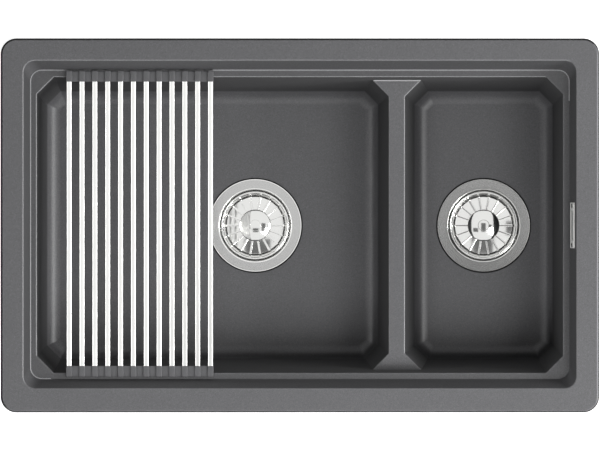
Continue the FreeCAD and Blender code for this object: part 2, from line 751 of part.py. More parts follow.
# ---------------------------------------------------------------- the roll-up rack
rack_back = ledge_rear - size.rack_gap_back
rack_front = ledge_fore + size.rack_gap_front
rack_length = rack_back - rack_front
rack_y = (rack_back + rack_front) / 2
sleeve = size.rod + 2 * size.sleeve_wall
rod_z = ledge_z + size.rest_gap + sleeve / 2
first_rod_x = -ledge_x + size.rack_start + sleeve / 2


def rod_x(number):
    return first_rod_x + number * size.rod_pitch


def make_rod(number):
    """A square stainless tube that runs from front to back."""
    body = new_body(f"rack_rod_{number + 1:02d}", rod_x(number), rack_y, rod_z)
    half = size.rod / 2
    inner = half - size.rod_wall
    length = rack_length - 2 * size.sleeve_end
    section = new_sketch(body, "XZ_Plane", -length / 2)
    draw_rounded(section, -half, half, -half, half, size.rod_corner)
    draw_rounded(section, -inner, inner, -inner, inner, size.rod_corner / 2)
    pad(body, section, length)


def make_sleeve(name, linked):
    """A silicone sleeve on the back end of a rod, with the link that reaches for the next sleeve."""
    body = new_body(name, kept=False)
    half = sleeve / 2
    outer = new_sketch(body, "XZ_Plane", -rack_length / 2)
    draw_rounded(outer, -half, half, -half, half, size.sleeve_edge)
    pad(body, outer, size.sleeve_length)
    if linked:
        link = new_sketch(body, "XZ_Plane", size.link_setback - rack_length / 2)
        reach = size.rod_pitch - half - size.link_gap
        draw_box(link, half / 2, reach, -size.link_thickness / 2, size.link_thickness / 2)
        pad(body, link, size.sleeve_length - size.link_setback)
    socket = new_sketch(body, "XZ_Plane", size.sleeve_end - rack_length / 2)
    grip = size.rod / 2
    draw_rounded(socket, -grip, grip, -grip, grip, size.rod_corner)
    pocket(body, socket, size.sleeve_length, backwards=True)
    return body


def make_rack():
    pair = {}
    for linked in (True, False):
        back = make_sleeve("linked_sleeve" if linked else "last_sleeve", linked)
        front = doc.addObject("Part::Mirroring", "front_sleeve")
        front.Source = back
        front.Normal = Vector(0, 1, 0)
        pair[linked] = [back, front]
    count = int(size.rod_count.value)
    for number in range(count):
        make_rod(number)
        linked = number < count - 1
        together(f"rack_sleeves_{number + 1:02d}", pair[linked], rod_x(number), rack_y, rod_z)


# ---------------------------------------------------------------- the two strainer wastes
def cup_inside():
    """The inner face of the strainer cup from its lip to its middle, as radius and height."""
    return [
        (size.throat_radius, flange_top),
        (size.throat_radius - size.cup_taper, -size.cup_straight),
        (size.seat_radius, -(size.cup_straight + size.cone_height)),
        (size.cup_floor_radius, -size.cup_depth),
        (0, -size.cup_depth),
    ]


def make_strainer_cup(side, x):
    """Pressed stainless cup: its flange clamps in the floor's step, its holes drain, its cone takes the stopper."""
    body = new_body(f"{side}_strainer_cup", x, 0, floor_z)
    inside = cup_inside()
    outside = [
        (0, -size.cup_depth - size.sheet),
        (size.cup_floor_radius + size.sheet / 2, -size.cup_depth - size.sheet),
        (size.seat_radius + size.sheet, -(size.cup_straight + size.cone_height) - size.sheet / 2),
        (size.throat_radius - size.cup_taper + size.sheet, -size.cup_straight - size.sheet / 2),
        (size.throat_radius + size.sheet, flange_top - size.sheet),
        (size.flange_radius, flange_top - size.sheet),
        (size.flange_radius, flange_top),
    ]
    revolve(body, inside + outside)
    lip = size.throat_radius.value
    round_off(body, size.throat_roll, lambda edge: level(edge, flange_top) and edge.Curve.Radius - lip < 0.01)
    screw_hole = draw_circle(new_sketch(body, away=-size.cup_depth), size.screw_radius + size.thread_gap)
    pocket(body, screw_hole, 2 * size.sheet)
    hole = new_sketch(body, away=-size.cup_depth)
    draw_circle(hole, size.drain_hole_radius, size.drain_hole_circle, 0)
    around(body, pocket(body, hole, 2 * size.sheet), size.drain_hole_count)


def make_ring(name, x, z, inner, outer, height):
    """A flat ring of rubber, its top at a height."""
    body = new_body(name, x, 0, z)
    ring = draw_circle(draw_circle(new_sketch(body), outer), inner)
    pad(body, ring, height, backwards=True)
    return body


def make_waste_body(side, x):
    """Moulded body under the sink: a funnel with a ribbed boss for the clamp screw and a threaded neck."""
    body = new_body(f"{side}_waste_body", x, 0, floor_z)
    bore, skin = size.waste_radius, size.plastic
    revolve(
        body,
        [
            (bore, waste_top),
            (bore, waste_shoulder),
            (size.neck_bore, waste_throat),
            (size.neck_bore, neck_end),
            (size.neck_radius, neck_end),
            (size.neck_radius, waste_throat - skin / 2),
            (bore + skin, waste_shoulder - skin / 2),
            (bore + skin, waste_top - size.waste_rim),
            (size.waste_rim_radius, waste_top - size.waste_rim),
            (size.waste_rim_radius, waste_top),
        ],
    )
    boss_radius = size.screw_radius + size.boss_wall
    boss = draw_circle(new_sketch(body, away=-size.boss_top), boss_radius)
    pad(body, boss, size.boss_height, backwards=True)
    rib = new_sketch(body, away=-size.boss_top - size.rib_height)
    draw_box(rib, 0, size.neck_radius + skin, -size.rib_thickness / 2, size.rib_thickness / 2)
    around(body, pad(body, rib, size.rib_height), Size(3))
    bowl_foot = waste_throat + size.waste_cone / 2
    doc.recompute()
    screw_way = draw_circle(new_sketch(body, away=-size.boss_top), size.screw_radius + size.thread_gap)
    pocket(body, screw_way, size.boss_height)
    if side == "right":
        add_inlet(body)
    return bowl_foot


def add_inlet(body):
    """The side spigot that takes the overflow pipe."""
    radius = size.overflow_pipe_radius + size.thread_gap
    wall_out = size.waste_radius + size.plastic
    spigot = new_sketch(body, "YZ_Plane", wall_out - size.plastic / 2)
    draw_circle(spigot, radius + size.spigot_wall, 0, -size.inlet_drop)
    pad(body, spigot, size.spigot_length + size.plastic / 2)
    way = new_sketch(body, "YZ_Plane", wall_out + size.spigot_length)
    draw_circle(way, radius, 0, -size.inlet_drop)
    pocket(body, way, size.overflow_insert)
    drip = new_sketch(body, "YZ_Plane", wall_out + size.spigot_length)
    draw_circle(drip, size.overflow_pipe_radius - size.overflow_pipe_wall, 0, -size.inlet_drop)
    pocket(body, drip, size.spigot_length + 2 * size.plastic)


def make_clamp_screw(side, x):
    """Hollow screw that pulls the cup and the waste body together; the basket's pin slides in its bore."""
    body = new_body(f"{side}_clamp_screw", x, 0, floor_z - size.cup_depth)
    bore = size.stem_radius + size.stem_gap
    revolve(
        body,
        [
            (bore, size.screw_head),
            (size.screw_head_radius, size.screw_head),
            (size.screw_head_radius, 0),
            (size.screw_radius, 0),
            (size.screw_radius, -size.screw_length),
            (bore, -size.screw_length),
        ],
    )
    across = new_sketch(body, away=size.screw_head)
    reach = size.screw_head_radius + 1
    draw_box(across, -reach, reach, -size.screw_slot / 2, size.screw_slot / 2)
    pocket(body, across, size.screw_head / 2)


dish_z = -(size.basket_drop + size.basket_dish)
hub_under = dish_z - size.basket_sheet
stopper_top = hub_under - size.collar
stopper_foot = stopper_top - size.stopper_thickness
cone_run = (size.throat_radius - size.cup_taper - size.seat_radius) / size.cone_height
cone_radius = size.throat_radius - size.cup_taper - cone_run * (-stopper_foot - size.cup_straight)
stopper_radius = cone_radius - size.stopper_gap * (1 + cone_run * cone_run).root()


def make_basket(side, x):
    """Pressed stainless strainer basket: a rim, a steep wall and a flat floor cut by radial slots."""
    body = new_body(f"{side}_basket", x, 0, floor_z)
    skin = size.basket_sheet
    revolve(
        body,
        [
            (0, dish_z),
            (size.basket_floor_radius, dish_z),
            (size.basket_radius - size.basket_lip, -size.basket_drop - skin),
            (size.basket_radius - size.basket_lip, -size.basket_drop),
            (size.basket_radius, -size.basket_drop),
            (size.basket_radius, -size.basket_drop - 2 * skin),
            (size.basket_radius - size.basket_lip + skin, -size.basket_drop - 2 * skin),
            (size.basket_floor_radius + skin, hub_under),
            (0, hub_under),
        ],
    )
    half_turn = 3.141592653589793 / size.slot_count
    half_bar = size.slot_bar / 2
    cut = new_sketch(body)
    draw_outline(
        cut,
        [
            (size.slot_inner, -(size.slot_inner * half_turn - half_bar)),
            (size.slot_outer, -(size.slot_outer * half_turn - half_bar)),
            (size.slot_outer, size.slot_outer * half_turn - half_bar),
            (size.slot_inner, size.slot_inner * half_turn - half_bar),
        ],
    )
    around(body, pocket(body, cut, size.cup_depth), size.slot_count)
    place(body, x, 0, floor_z, Vector(0, 0, 1), HALF_SLOT_TURN)


def make_knob(side, x):
    """Turned and polished mushroom knob on the basket's floor, with a plain ring groove on top."""
    body = new_body(f"{side}_knob", x, 0, floor_z + dish_z)
    edge_z = size.knob_neck + size.knob_edge
    top_z = edge_z + size.knob_height
    revolve(
        body,
        [
            (0, 0),
            (size.knob_neck_radius, 0),
            (size.knob_neck_radius, size.knob_neck),
            (size.knob_radius, size.knob_neck),
            (size.knob_radius, edge_z),
            (0, top_z),
        ],
        domes=(4,),
    )
    sag = size.knob_height * (size.badge_radius / size.knob_radius) * (size.badge_radius / size.knob_radius)
    ring_z = top_z - sag
    half = size.badge_groove / 2
    revolve(
        body,
        [
            (size.badge_radius - half, ring_z + 1),
            (size.badge_radius - half, ring_z - half),
            (size.badge_radius + half, ring_z - half),
            (size.badge_radius + half, ring_z + 1),
        ],
        kind="Groove",
    )


def make_stem(side, x):
    """Turned pin that guides the basket in the clamp screw, with a shoulder above the stopper."""
    body = new_body(f"{side}_stem", x, 0, floor_z + hub_under)
    tip = size.stem_radius / 2
    revolve(
        body,
        [
            (0, 0),
            (size.collar_radius, 0),
            (size.collar_radius, -size.collar),
            (size.stem_radius, -size.collar),
            (size.stem_radius, -size.stem_length + tip),
            (size.stem_radius - tip, -size.stem_length),
            (0, -size.stem_length),
        ],
    )


def make_stem_nut(side, x):
    """Brass nut that holds the stopper against the stem's shoulder."""
    body = new_body(f"{side}_stem_nut", x, 0, floor_z + stopper_foot)
    flat = size.nut_radius * 0.8660254037844386
    half = size.nut_radius / 2
    outline = new_sketch(body)
    corners = [
        (size.nut_radius, 0),
        (half, flat),
        (-half, flat),
        (-size.nut_radius, 0),
        (-half, -flat),
        (half, -flat),
    ]
    draw_outline(outline, corners)
    draw_circle(outline, size.stem_radius)
    pad(body, outline, size.nut_height, backwards=True)


def make_wastes():
    for side, x in DRAINS:
        make_strainer_cup(side, x)
        seal_top = floor_z + flange_top - size.sheet
        seal_outer = size.flange_radius + size.seal_edge
        make_ring(f"{side}_flange_seal", x, seal_top, cup_hole_radius, seal_outer, size.flange_seal)
        seal_inner = size.waste_radius
        seal_outer = size.waste_rim_radius - size.body_seal
        make_ring(f"{side}_body_seal", x, under_z, seal_inner, seal_outer, size.body_seal)
        make_waste_body(side, x)
        make_clamp_screw(side, x)
        make_basket(side, x)
        make_knob(side, x)
        make_stem(side, x)
        stopper_z = floor_z + stopper_top
        stopper_hole = size.stem_radius + size.thread_gap
        make_ring(f"{side}_stopper", x, stopper_z, stopper_hole, stopper_radius, size.stopper_thickness)
        make_stem_nut(side, x)


# ---------------------------------------------------------------- the waste pipes
def swivel_end(body):
    """The flange at the top of the elbow and the tee, which the nut draws up against the waste."""
    flange = draw_circle(new_sketch(body, away=joint_top), size.pipe_flange_radius)
    pad(body, flange, size.pipe_flange, backwards=True)


def make_elbow():
    """Moulded elbow under the left waste, turned towards the tee."""
    body = new_body("waste_elbow", left_drain_x, 0, floor_z)
    bend_start = joint_top - size.pipe_drop
    run_end = size.bend_radius + size.socket_length
    swivel_end(body)
    path = elbow_path(body, bend_start, size.bend_radius)
    tube = draw_circle(new_sketch(body, away=joint_top), size.pipe_radius)
    sweep(body, "AdditivePipe", tube, path)
    socket = new_sketch(body, "YZ_Plane", size.bend_radius)
    draw_circle(socket, size.socket_radius, 0, branch_drop)
    pad(body, socket, size.socket_length)
    way_path = elbow_path(body, bend_start, run_end)
    way = draw_circle(new_sketch(body, away=joint_top), size.pipe_radius - size.pipe_wall)
    sweep(body, "SubtractivePipe", way, way_path)
    mouth = new_sketch(body, "YZ_Plane", run_end)
    draw_circle(mouth, size.pipe_radius + size.thread_gap, 0, branch_drop)
    pocket(body, mouth, size.pipe_insert)


def elbow_path(body, bend_start, run_end):
    """Down from the joint, round the bend and along to the end, in the upright plane."""
    path = new_sketch(body, "XZ_Plane")
    r = size.bend_radius.value
    top, start = joint_top.value, bend_start.value
    end = run_end.value
    path.addGeometry(Part.LineSegment(Vector(0, top, 0), Vector(0, start, 0)), False)
    circle = Part.Circle(Vector(r, start, 0), Vector(0, 0, 1), r)
    path.addGeometry(Part.ArcOfCircle(circle, 3.141592653589793, 3.141592653589793 * 1.5), False)
    tie(path, "DistanceX", 0, 1, 0)
    tie(path, "DistanceY", 0, 1, joint_top)
    path.addConstraint(Sketcher.Constraint("Vertical", 0))
    path.addConstraint(Sketcher.Constraint("Tangent", 0, 2, 1, 1))
    number = path.addConstraint(Sketcher.Constraint("Radius", 1, r))
    path.setExpression(f"Constraints[{number}]", size.bend_radius.formula)
    tie(path, "DistanceY", 0, 2, bend_start)
    tie(path, "DistanceX", 1, 2, size.bend_radius)
    if end > r:
        path.addGeometry(Part.LineSegment(Vector(r, start - r, 0), Vector(end, start - r, 0)), False)
        path.addConstraint(Sketcher.Constraint("Tangent", 1, 2, 2, 1))
        tie(path, "DistanceX", 2, 2, run_end)
    return path


def make_tee():
    """Moulded tee under the right waste: its branch takes the link pipe, its spigot takes the trap."""
    body = new_body("outlet_tee", right_drain_x, 0, floor_z)
    swivel_end(body)
    foot = branch_drop - size.outlet_length
    run = draw_circle(new_sketch(body, away=joint_top), size.pipe_radius)
    pad(body, run, joint_top - foot, backwards=True)
    collar = draw_circle(new_sketch(body, away=foot + size.outlet_spigot), size.outlet_collar_radius)
    pad(body, collar, size.outlet_collar)
    neck = draw_circle(new_sketch(body, "YZ_Plane", -size.branch_stub), size.pipe_radius, 0, branch_drop)
    pad(body, neck, size.branch_stub)
    socket = new_sketch(body, "YZ_Plane", -(size.branch_stub + size.socket_length))
    draw_circle(socket, size.socket_radius, 0, branch_drop)
    pad(body, socket, size.socket_length)
    bore = size.pipe_radius - size.pipe_wall
    down = draw_circle(new_sketch(body, away=joint_top), bore)
    pocket(body, down, joint_top - foot)
    across = new_sketch(body, "YZ_Plane", -(size.branch_stub + size.socket_length))
    draw_circle(across, bore, 0, branch_drop)
    pocket(body, across, size.branch_stub + size.socket_length, backwards=True)
    mouth = new_sketch(body, "YZ_Plane", -(size.branch_stub + size.socket_length))
    draw_circle(mouth, size.pipe_radius + size.thread_gap, 0, branch_drop)
    pocket(body, mouth, size.pipe_insert, backwards=True)


def make_link_pipe():
    """Plain pipe from the elbow's socket to the tee's."""
    start = left_drain_x + size.bend_radius + size.socket_length - size.pipe_insert
    end = right_drain_x - size.branch_stub - size.socket_length + size.pipe_insert
    body = new_body("link_pipe", start, 0, floor_z + branch_drop)
    ring = draw_circle(new_sketch(body, "YZ_Plane"), size.pipe_radius)
    draw_circle(ring, size.pipe_radius - size.pipe_wall)
    pad(body, ring, end - start)


def make_grip_nut(x, z, upright_axis, flipped, thread, hole, grip, lip, length):
    """A moulded nut with finger ribs; its lip is at the far end from the thread."""
    body = new_body("grip_nut", x, 0, z, kept=False)
    gap = size.thread_gap
    sign = -1 if flipped else 1
    revolve(
        body,
        [
            (thread + gap, 0),
            (grip, 0),
            (grip, sign * length),
            (hole + gap, sign * length),
            (hole + gap, sign * (length - lip)),
            (thread + gap, sign * (length - lip)),
        ],
    )
    rib = draw_circle(new_sketch(body), size.grip_rib, grip, 0)
    around(body, pad(body, rib, length - lip, backwards=flipped), size.grip_count)
    if not upright_axis:
        body.Placement = FreeCAD.Placement(body.Placement.Base, FreeCAD.Rotation(Vector(0, 1, 0), 90))
    return body


def make_pipe_joints():
    """Ribbed nuts and rubber washers of the waste joints."""
    nut_top = floor_z + joint_top - size.pipe_flange - size.grip_lip + size.grip_length
    upright_nuts = []
    for _, x in DRAINS:
        upright_nuts.append(
            make_grip_nut(
                x, nut_top, True, True, size.neck_radius, size.pipe_radius, size.grip_radius,
                size.grip_lip, size.grip_length,
            )
        )
    together("outlet_nuts", upright_nuts)
    elbow_end = left_drain_x + size.bend_radius + size.socket_length
    tee_end = right_drain_x - size.branch_stub - size.socket_length
    cover = size.grip_length - size.grip_lip - size.washer
    level_z = floor_z + branch_drop
    level_nuts = []
    for start, flipped in ((elbow_end - cover, False), (tee_end + cover, True)):
        level_nuts.append(
            make_grip_nut(
                start, level_z, False, flipped, size.socket_radius, size.pipe_radius, size.grip_radius,
                size.grip_lip, size.grip_length,
            )
        )
    together("link_nuts", level_nuts)
    washers = []
    for _, x in DRAINS:
        ring = new_body("outlet_washer", x, 0, floor_z + neck_end, kept=False)
        section = draw_circle(draw_circle(new_sketch(ring), size.pipe_flange_radius), size.neck_bore)
        pad(ring, section, size.washer, backwards=True)
        washers.append(ring)
    together("outlet_washers", washers)
    washers = []
    for end, backwards in ((elbow_end, False), (tee_end, True)):
        ring = new_body("link_washer", end, 0, level_z, kept=False)
        section = draw_circle(new_sketch(ring, "YZ_Plane"), size.socket_radius)
        draw_circle(section, size.pipe_radius + size.thread_gap)
        pad(ring, section, size.washer, backwards=backwards)
        washers.append(ring)
    together("link_washers", washers)


# ---------------------------------------------------------------- the overflow
def on_wall(name, kept=True):
    """A body whose axis stands on the leaning recess wall at the overflow and points into the bowl."""
    body = new_body(name, kept=kept)
    place(body, overflow_x, 0, overflow_z, Vector(0, -1, 0), WALL_TURN)
    return body


def make_overflow_cover():
    """Pressed stainless plate over the overflow slot."""
    body = on_wall("overflow_cover")
    half_height, half_length = size.cover_height / 2, size.cover_length / 2
    plate = new_sketch(body)
    draw_rounded(plate, -half_height, half_height, -half_length, half_length, size.cover_thickness)
    draw_slot(plate)
    for y in (screw_y, -screw_y):
        draw_circle(plate, size.overflow_screw_radius + size.thread_gap, 0, y)
    pad(body, plate, size.cover_thickness)


def make_overflow_screws():
    """Two screws through the cover and the wall into the head."""
    pieces = []
    for y in (screw_y, -screw_y):
        body = on_wall("overflow_screw", kept=False)
        body.setExpression("Placement.Base.y", y.formula)
        head_z = size.cover_thickness + size.overflow_screw_radius / 2
        revolve(
            body,
            [
                (0, head_z),
                (size.overflow_screw_head / 2, head_z),
                (size.overflow_screw_head, size.cover_thickness),
                (size.overflow_screw_radius, size.cover_thickness),
                (size.overflow_screw_radius, size.cover_thickness - size.overflow_screw_length),
                (0, size.cover_thickness - size.overflow_screw_length),
            ],
        )
        pieces.append(body)
    together("overflow_screws", pieces)


def make_overflow_seal():
    """Flat gasket between the sink's wall and the head."""
    body = on_wall("overflow_seal")
    half_length = size.head_length / 2
    gasket = new_sketch(body, away=-size.overflow_wall)
    half_height = size.overflow_slot_height / 2 + size.overflow_seal_border
    draw_box(gasket, -half_height, half_height, -half_length, half_length)
    draw_slot(gasket)
    for y in (screw_y, -screw_y):
        draw_circle(gasket, size.overflow_screw_radius + size.thread_gap, 0, y)
    pad(body, gasket, size.overflow_seal, backwards=True)


head_face = (size.overflow_wall + size.overflow_seal) * wall_stretch
head_top = -size.head_top_gap
head_step = ledge_under_z - size.head_gap
head_foot = head_step - size.head_chamber
head_inner_x = mouth_x + size.wall + size.head_gap
head_outer_x = block_x + size.head_reach
spigot_x = (head_inner_x + head_outer_x) / 2
inlet_z = floor_z - size.inlet_drop


def head_section(body, skin):
    """Side view of the overflow head, or of its hollow when a skin thickness is given."""
    top, step, foot = head_top - skin, head_step - skin, head_foot + skin
    corners = [
        (wall_x(top) + head_face + skin, top),
        (wall_x(step) + head_face + skin, step),
        (head_inner_x + skin, step),
        (head_inner_x + skin, foot),
        (head_outer_x - skin, foot),
        (head_outer_x - skin, top),
    ]
    return draw_outline(new_sketch(body, "XZ_Plane"), corners)


def make_overflow_head():
    """Flat moulded chamber behind the wall, which drops the water into the overflow pipe."""
    body = new_body("overflow_head")
    pad(body, head_section(body, 0), size.head_length, both_ways=True)
    spigot_radius = size.overflow_pipe_radius + size.thread_gap
    spigot = draw_circle(new_sketch(body, away=head_foot), spigot_radius + size.spigot_wall, spigot_x, 0)
    pad(body, spigot, size.spigot_length, backwards=True)
    pocket(body, head_section(body, size.head_wall), size.overflow_slot_length, both_ways=True)
    holes = overflow_plane(body, size.overflow_wall + size.overflow_seal)
    draw_slot(holes)
    pocket(body, holes, 2 * size.head_wall)
    threads = overflow_plane(body, size.overflow_wall + size.overflow_seal)
    for y in (screw_y, -screw_y):
        draw_circle(threads, size.overflow_screw_radius + size.thread_gap, 0, y)
    pocket(body, threads, size.head_reach - size.head_wall)
    way = draw_circle(new_sketch(body, away=head_foot - size.spigot_length), spigot_radius, spigot_x, 0)
    pocket(body, way, size.overflow_insert, backwards=True)
    drip_radius = size.overflow_pipe_radius - size.overflow_pipe_wall
    drip = draw_circle(new_sketch(body, away=head_foot - size.spigot_length), drip_radius, spigot_x, 0)
    pocket(body, drip, size.spigot_length + 2 * size.head_wall, backwards=True)


pipe_top_z = head_foot - size.spigot_length + size.overflow_insert
inlet_end = right_drain_x + size.waste_radius + size.plastic + size.spigot_length


def make_overflow_pipe():
    """Rigid pipe down behind the right bowl and under it to the right waste."""
    body = new_body("overflow_pipe", spigot_x, 0, inlet_z)
    length_up = pipe_top_z - inlet_z
    run = spigot_x - inlet_end + size.overflow_insert
    path = overflow_path(body, length_up, run)
    tube = draw_circle(new_sketch(body, away=length_up), size.overflow_pipe_radius)
    sweep(body, "AdditivePipe", tube, path)
    path = overflow_path(body, length_up, run)
    bore = draw_circle(new_sketch(body, away=length_up), size.overflow_pipe_radius - size.overflow_pipe_wall)
    sweep(body, "SubtractivePipe", bore, path)


def overflow_path(body, length_up, run):
    """Down, round a quarter bend, and in under the bowl."""
    path = new_sketch(body, "XZ_Plane")
    r, up, far = size.overflow_bend.value, length_up.value, run.value
    path.addGeometry(Part.LineSegment(Vector(0, up, 0), Vector(0, r, 0)), False)
    circle = Part.Circle(Vector(-r, r, 0), Vector(0, 0, 1), r)
    path.addGeometry(Part.ArcOfCircle(circle, -3.141592653589793 / 2, 0), False)
    path.addGeometry(Part.LineSegment(Vector(-r, 0, 0), Vector(-far, 0, 0)), False)
    tie(path, "DistanceX", 0, 1, 0)
    tie(path, "DistanceY", 0, 1, length_up)
    path.addConstraint(Sketcher.Constraint("Vertical", 0))
    path.addConstraint(Sketcher.Constraint("Tangent", 0, 2, 1, 2))
    path.addConstraint(Sketcher.Constraint("Tangent", 1, 1, 2, 1))
    path.addConstraint(Sketcher.Constraint("Horizontal", 2))
    number = path.addConstraint(Sketcher.Constraint("Radius", 1, r))
    path.setExpression(f"Constraints[{number}]", size.overflow_bend.formula)
    tie(path, "DistanceX", 2, 2, -run)
    tie(path, "DistanceY", 2, 2, 0)
    return path


def make_overflow_nuts():
    """Small ribbed nuts on the two ends of the overflow pipe."""
    thread = size.overflow_pipe_radius + size.thread_gap + size.spigot_wall
    sizes_of_nut = (thread, size.overflow_pipe_radius, size.small_grip_radius, size.small_grip_lip)
    cover = size.small_grip_length - size.small_grip_lip
    upper_z = head_foot - size.spigot_length + cover
    upper = make_grip_nut(spigot_x, upper_z, True, True, *sizes_of_nut, size.small_grip_length)
    lower = make_grip_nut(inlet_end - cover, inlet_z, False, False, *sizes_of_nut, size.small_grip_length)
    together("overflow_nuts", [upper, lower])


# ---------------------------------------------------------------- build, check and write
def write_out():
    """Checks every object and writes each node as one file."""
    doc.recompute()
    for thing in doc.Objects:
        if "Invalid" in thing.State or "Error" in thing.State:
            raise RuntimeError(f"{thing.Label} ({thing.Name}) failed: {thing.State}")
    for node in nodes:
        shape = node.Shape
        if shape.isNull() or not shape.isValid() or not shape.Solids:
            raise RuntimeError(f"{node.Label} has no valid solid")
    os.makedirs("parts", exist_ok=True)
    for node in nodes:
        node.Shape.exportStep(f"parts/{node.Label}.step")
    print(f"wrote {len(nodes)} nodes")


make_sink()
make_inserts()
make_rack()
make_wastes()
make_elbow()
make_tee()
make_link_pipe()
make_pipe_joints()
make_overflow_cover()
make_overflow_screws()
make_overflow_seal()
make_overflow_head()
make_overflow_pipe()
make_overflow_nuts()
write_out()
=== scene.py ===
import json
import math

import bmesh
import bpy
from mathutils import Matrix, Vector


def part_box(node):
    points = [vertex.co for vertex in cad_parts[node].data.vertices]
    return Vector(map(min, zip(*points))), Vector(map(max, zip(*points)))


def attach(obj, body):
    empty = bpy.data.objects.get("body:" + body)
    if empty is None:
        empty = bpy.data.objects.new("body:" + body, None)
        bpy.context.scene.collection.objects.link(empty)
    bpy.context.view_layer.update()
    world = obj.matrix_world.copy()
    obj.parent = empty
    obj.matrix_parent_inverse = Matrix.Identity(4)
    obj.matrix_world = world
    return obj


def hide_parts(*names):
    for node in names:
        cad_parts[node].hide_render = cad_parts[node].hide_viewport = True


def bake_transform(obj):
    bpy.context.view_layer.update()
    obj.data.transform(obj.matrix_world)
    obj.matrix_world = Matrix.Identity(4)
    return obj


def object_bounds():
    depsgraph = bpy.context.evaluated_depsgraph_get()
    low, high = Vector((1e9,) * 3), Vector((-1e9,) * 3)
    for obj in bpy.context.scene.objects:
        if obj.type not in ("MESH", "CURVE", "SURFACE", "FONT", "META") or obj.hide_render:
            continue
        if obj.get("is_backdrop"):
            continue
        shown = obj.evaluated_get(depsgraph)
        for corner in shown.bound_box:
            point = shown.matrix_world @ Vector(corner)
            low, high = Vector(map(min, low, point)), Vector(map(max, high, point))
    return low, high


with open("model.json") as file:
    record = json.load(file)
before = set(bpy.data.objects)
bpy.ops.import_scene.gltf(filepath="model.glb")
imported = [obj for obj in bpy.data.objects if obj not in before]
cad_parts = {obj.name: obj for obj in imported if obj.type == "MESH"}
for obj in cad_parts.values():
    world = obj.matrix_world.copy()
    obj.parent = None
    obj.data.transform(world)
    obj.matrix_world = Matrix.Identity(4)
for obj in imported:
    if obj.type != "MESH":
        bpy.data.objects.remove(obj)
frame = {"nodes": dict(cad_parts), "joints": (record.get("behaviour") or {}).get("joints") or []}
cad_low, cad_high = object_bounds()

# A double bowl kitchen sink cast in dark stone composite, with two basket strainer wastes, an overflow,
# joined waste pipes and a roll-up drying rack on the ledge. Metres, in the frame of the solids: +X to the
# right, +Y to the back, +Z up, and the worktop's plane at zero.

# ---------------------------------------------------------------- the view
# The photograph looks straight down on the sink from so far off that its depth hardly shows. One pixel is
# 1.2 mm on the rim, and the picture's middle lies a fraction of a pixel beside the sink's.
MM = 0.001
photo_width = 600
pixel = 1.2028 * MM
picture_middle = (0.1 * pixel, 0.4 * pixel)
camera_height = 24.0

camera = bpy.data.objects.new("camera", bpy.data.cameras.new("camera"))
camera.data.lens = camera.data.sensor_width * camera_height / (photo_width * pixel)
camera.data.clip_start = 1.0
camera.data.clip_end = 2 * camera_height
camera.location = (*picture_middle, cad_high.z + camera_height)
bpy.context.scene.collection.objects.link(camera)
bpy.context.scene.camera = camera
bpy.context.scene.view_settings.view_transform = "Standard"


# ---------------------------------------------------------------- the sink
# One casting of crushed quartz in dark acrylic resin: rim, recess with a ledge, two bowls and a low divider.
# Its face comes out of a polished mould with an even, slightly grainy skin, and its back stays rough.
def linear(code):
    """The linear colour of an sRGB hex code."""
    values = [int(code[place : place + 2], 16) / 255 for place in (1, 3, 5)]
    return (*[v / 12.92 if v <= 0.04045 else ((v + 0.055) / 1.055) ** 2.4 for v in values], 1.0)


def feed(tree, node, fill):
    """Gives each named input a value, another node's output, or the first live output of another node."""
    for name, value in fill.items():
        if isinstance(value, bpy.types.Node):
            value = next(output for output in value.outputs if output.enabled)
        if isinstance(value, bpy.types.NodeSocket):
            tree.links.new(value, node.inputs[name])
        else:
            node.inputs[name].default_value = value


def add(tree, kind, fill=None, **settings):
    """Adds one node with its settings, and feeds its inputs."""
    node = tree.nodes.new(kind)
    for name, value in settings.items():
        setattr(node, name, value)
    feed(tree, node, fill or {})
    return node


def start_material(name, colour, roughness, metallic=0.0, **sockets):
    """A material with plain values on its shader; returns it with its tree and that shader."""
    material = bpy.data.materials.new(name)
    material.use_nodes = True
    material.diffuse_color = linear(colour)
    shader = material.node_tree.nodes["Principled BSDF"]
    values = {"Base Color": linear(colour), "Roughness": roughness, "Metallic": metallic, **sockets}
    feed(material.node_tree, shader, values)
    return material, material.node_tree, shader


def dress(material, *names):
    """Gives the named solids their material."""
    for name in names:
        for slot in frame["nodes"][name].material_slots:
            slot.material = material


def quartz_grains(tree, place, height):
    """Three greys of grain, just wide enough to show, that drift a little over the casting. The narrow ledge
    is painted darker, as painted shade under the walls of the recess."""
    grain, flow_mark = 0.8 * MM, 40 * MM
    dark_share, pale_from = 0.18, 0.85
    ledge, painted_ledge_shade = -22 * MM, 0.66
    grains = add(tree, "ShaderNodeTexVoronoi", {"Vector": place, "Scale": 1 / grain})
    pick = add(tree, "ShaderNodeSeparateColor", {"Color": grains.outputs["Color"]})
    greys = add(tree, "ShaderNodeValToRGB", {"Fac": pick.outputs["Red"]})
    stops = greys.color_ramp
    stops.interpolation = "CONSTANT"
    stops.elements[0].color = linear("#545456")
    stops.elements[1].position = dark_share
    stops.elements[1].color = linear("#5c5c5e")
    stops.elements.new(pale_from).color = linear("#656567")
    drift = add(tree, "ShaderNodeTexNoise", {"Vector": place, "Scale": 1 / flow_mark, "Detail": 1.0})
    tone = add(tree, "ShaderNodeMapRange", {"Value": drift, "To Min": 0.95, "To Max": 1.05})
    toned = add(tree, "ShaderNodeHueSaturation", {"Color": greys, "Value": tone})
    # painted shade: the ledge's colour is darkened here
    on_ledge = add(tree, "ShaderNodeMath", {0: height, 1: ledge, 2: 1 * MM}, operation="COMPARE")
    ledge_painted_shade = add(tree, "ShaderNodeMapRange", {"Value": on_ledge, "To Min": 1.0, "To Max": painted_ledge_shade})
    return add(tree, "ShaderNodeHueSaturation", {"Color": toned, "Value": ledge_painted_shade})


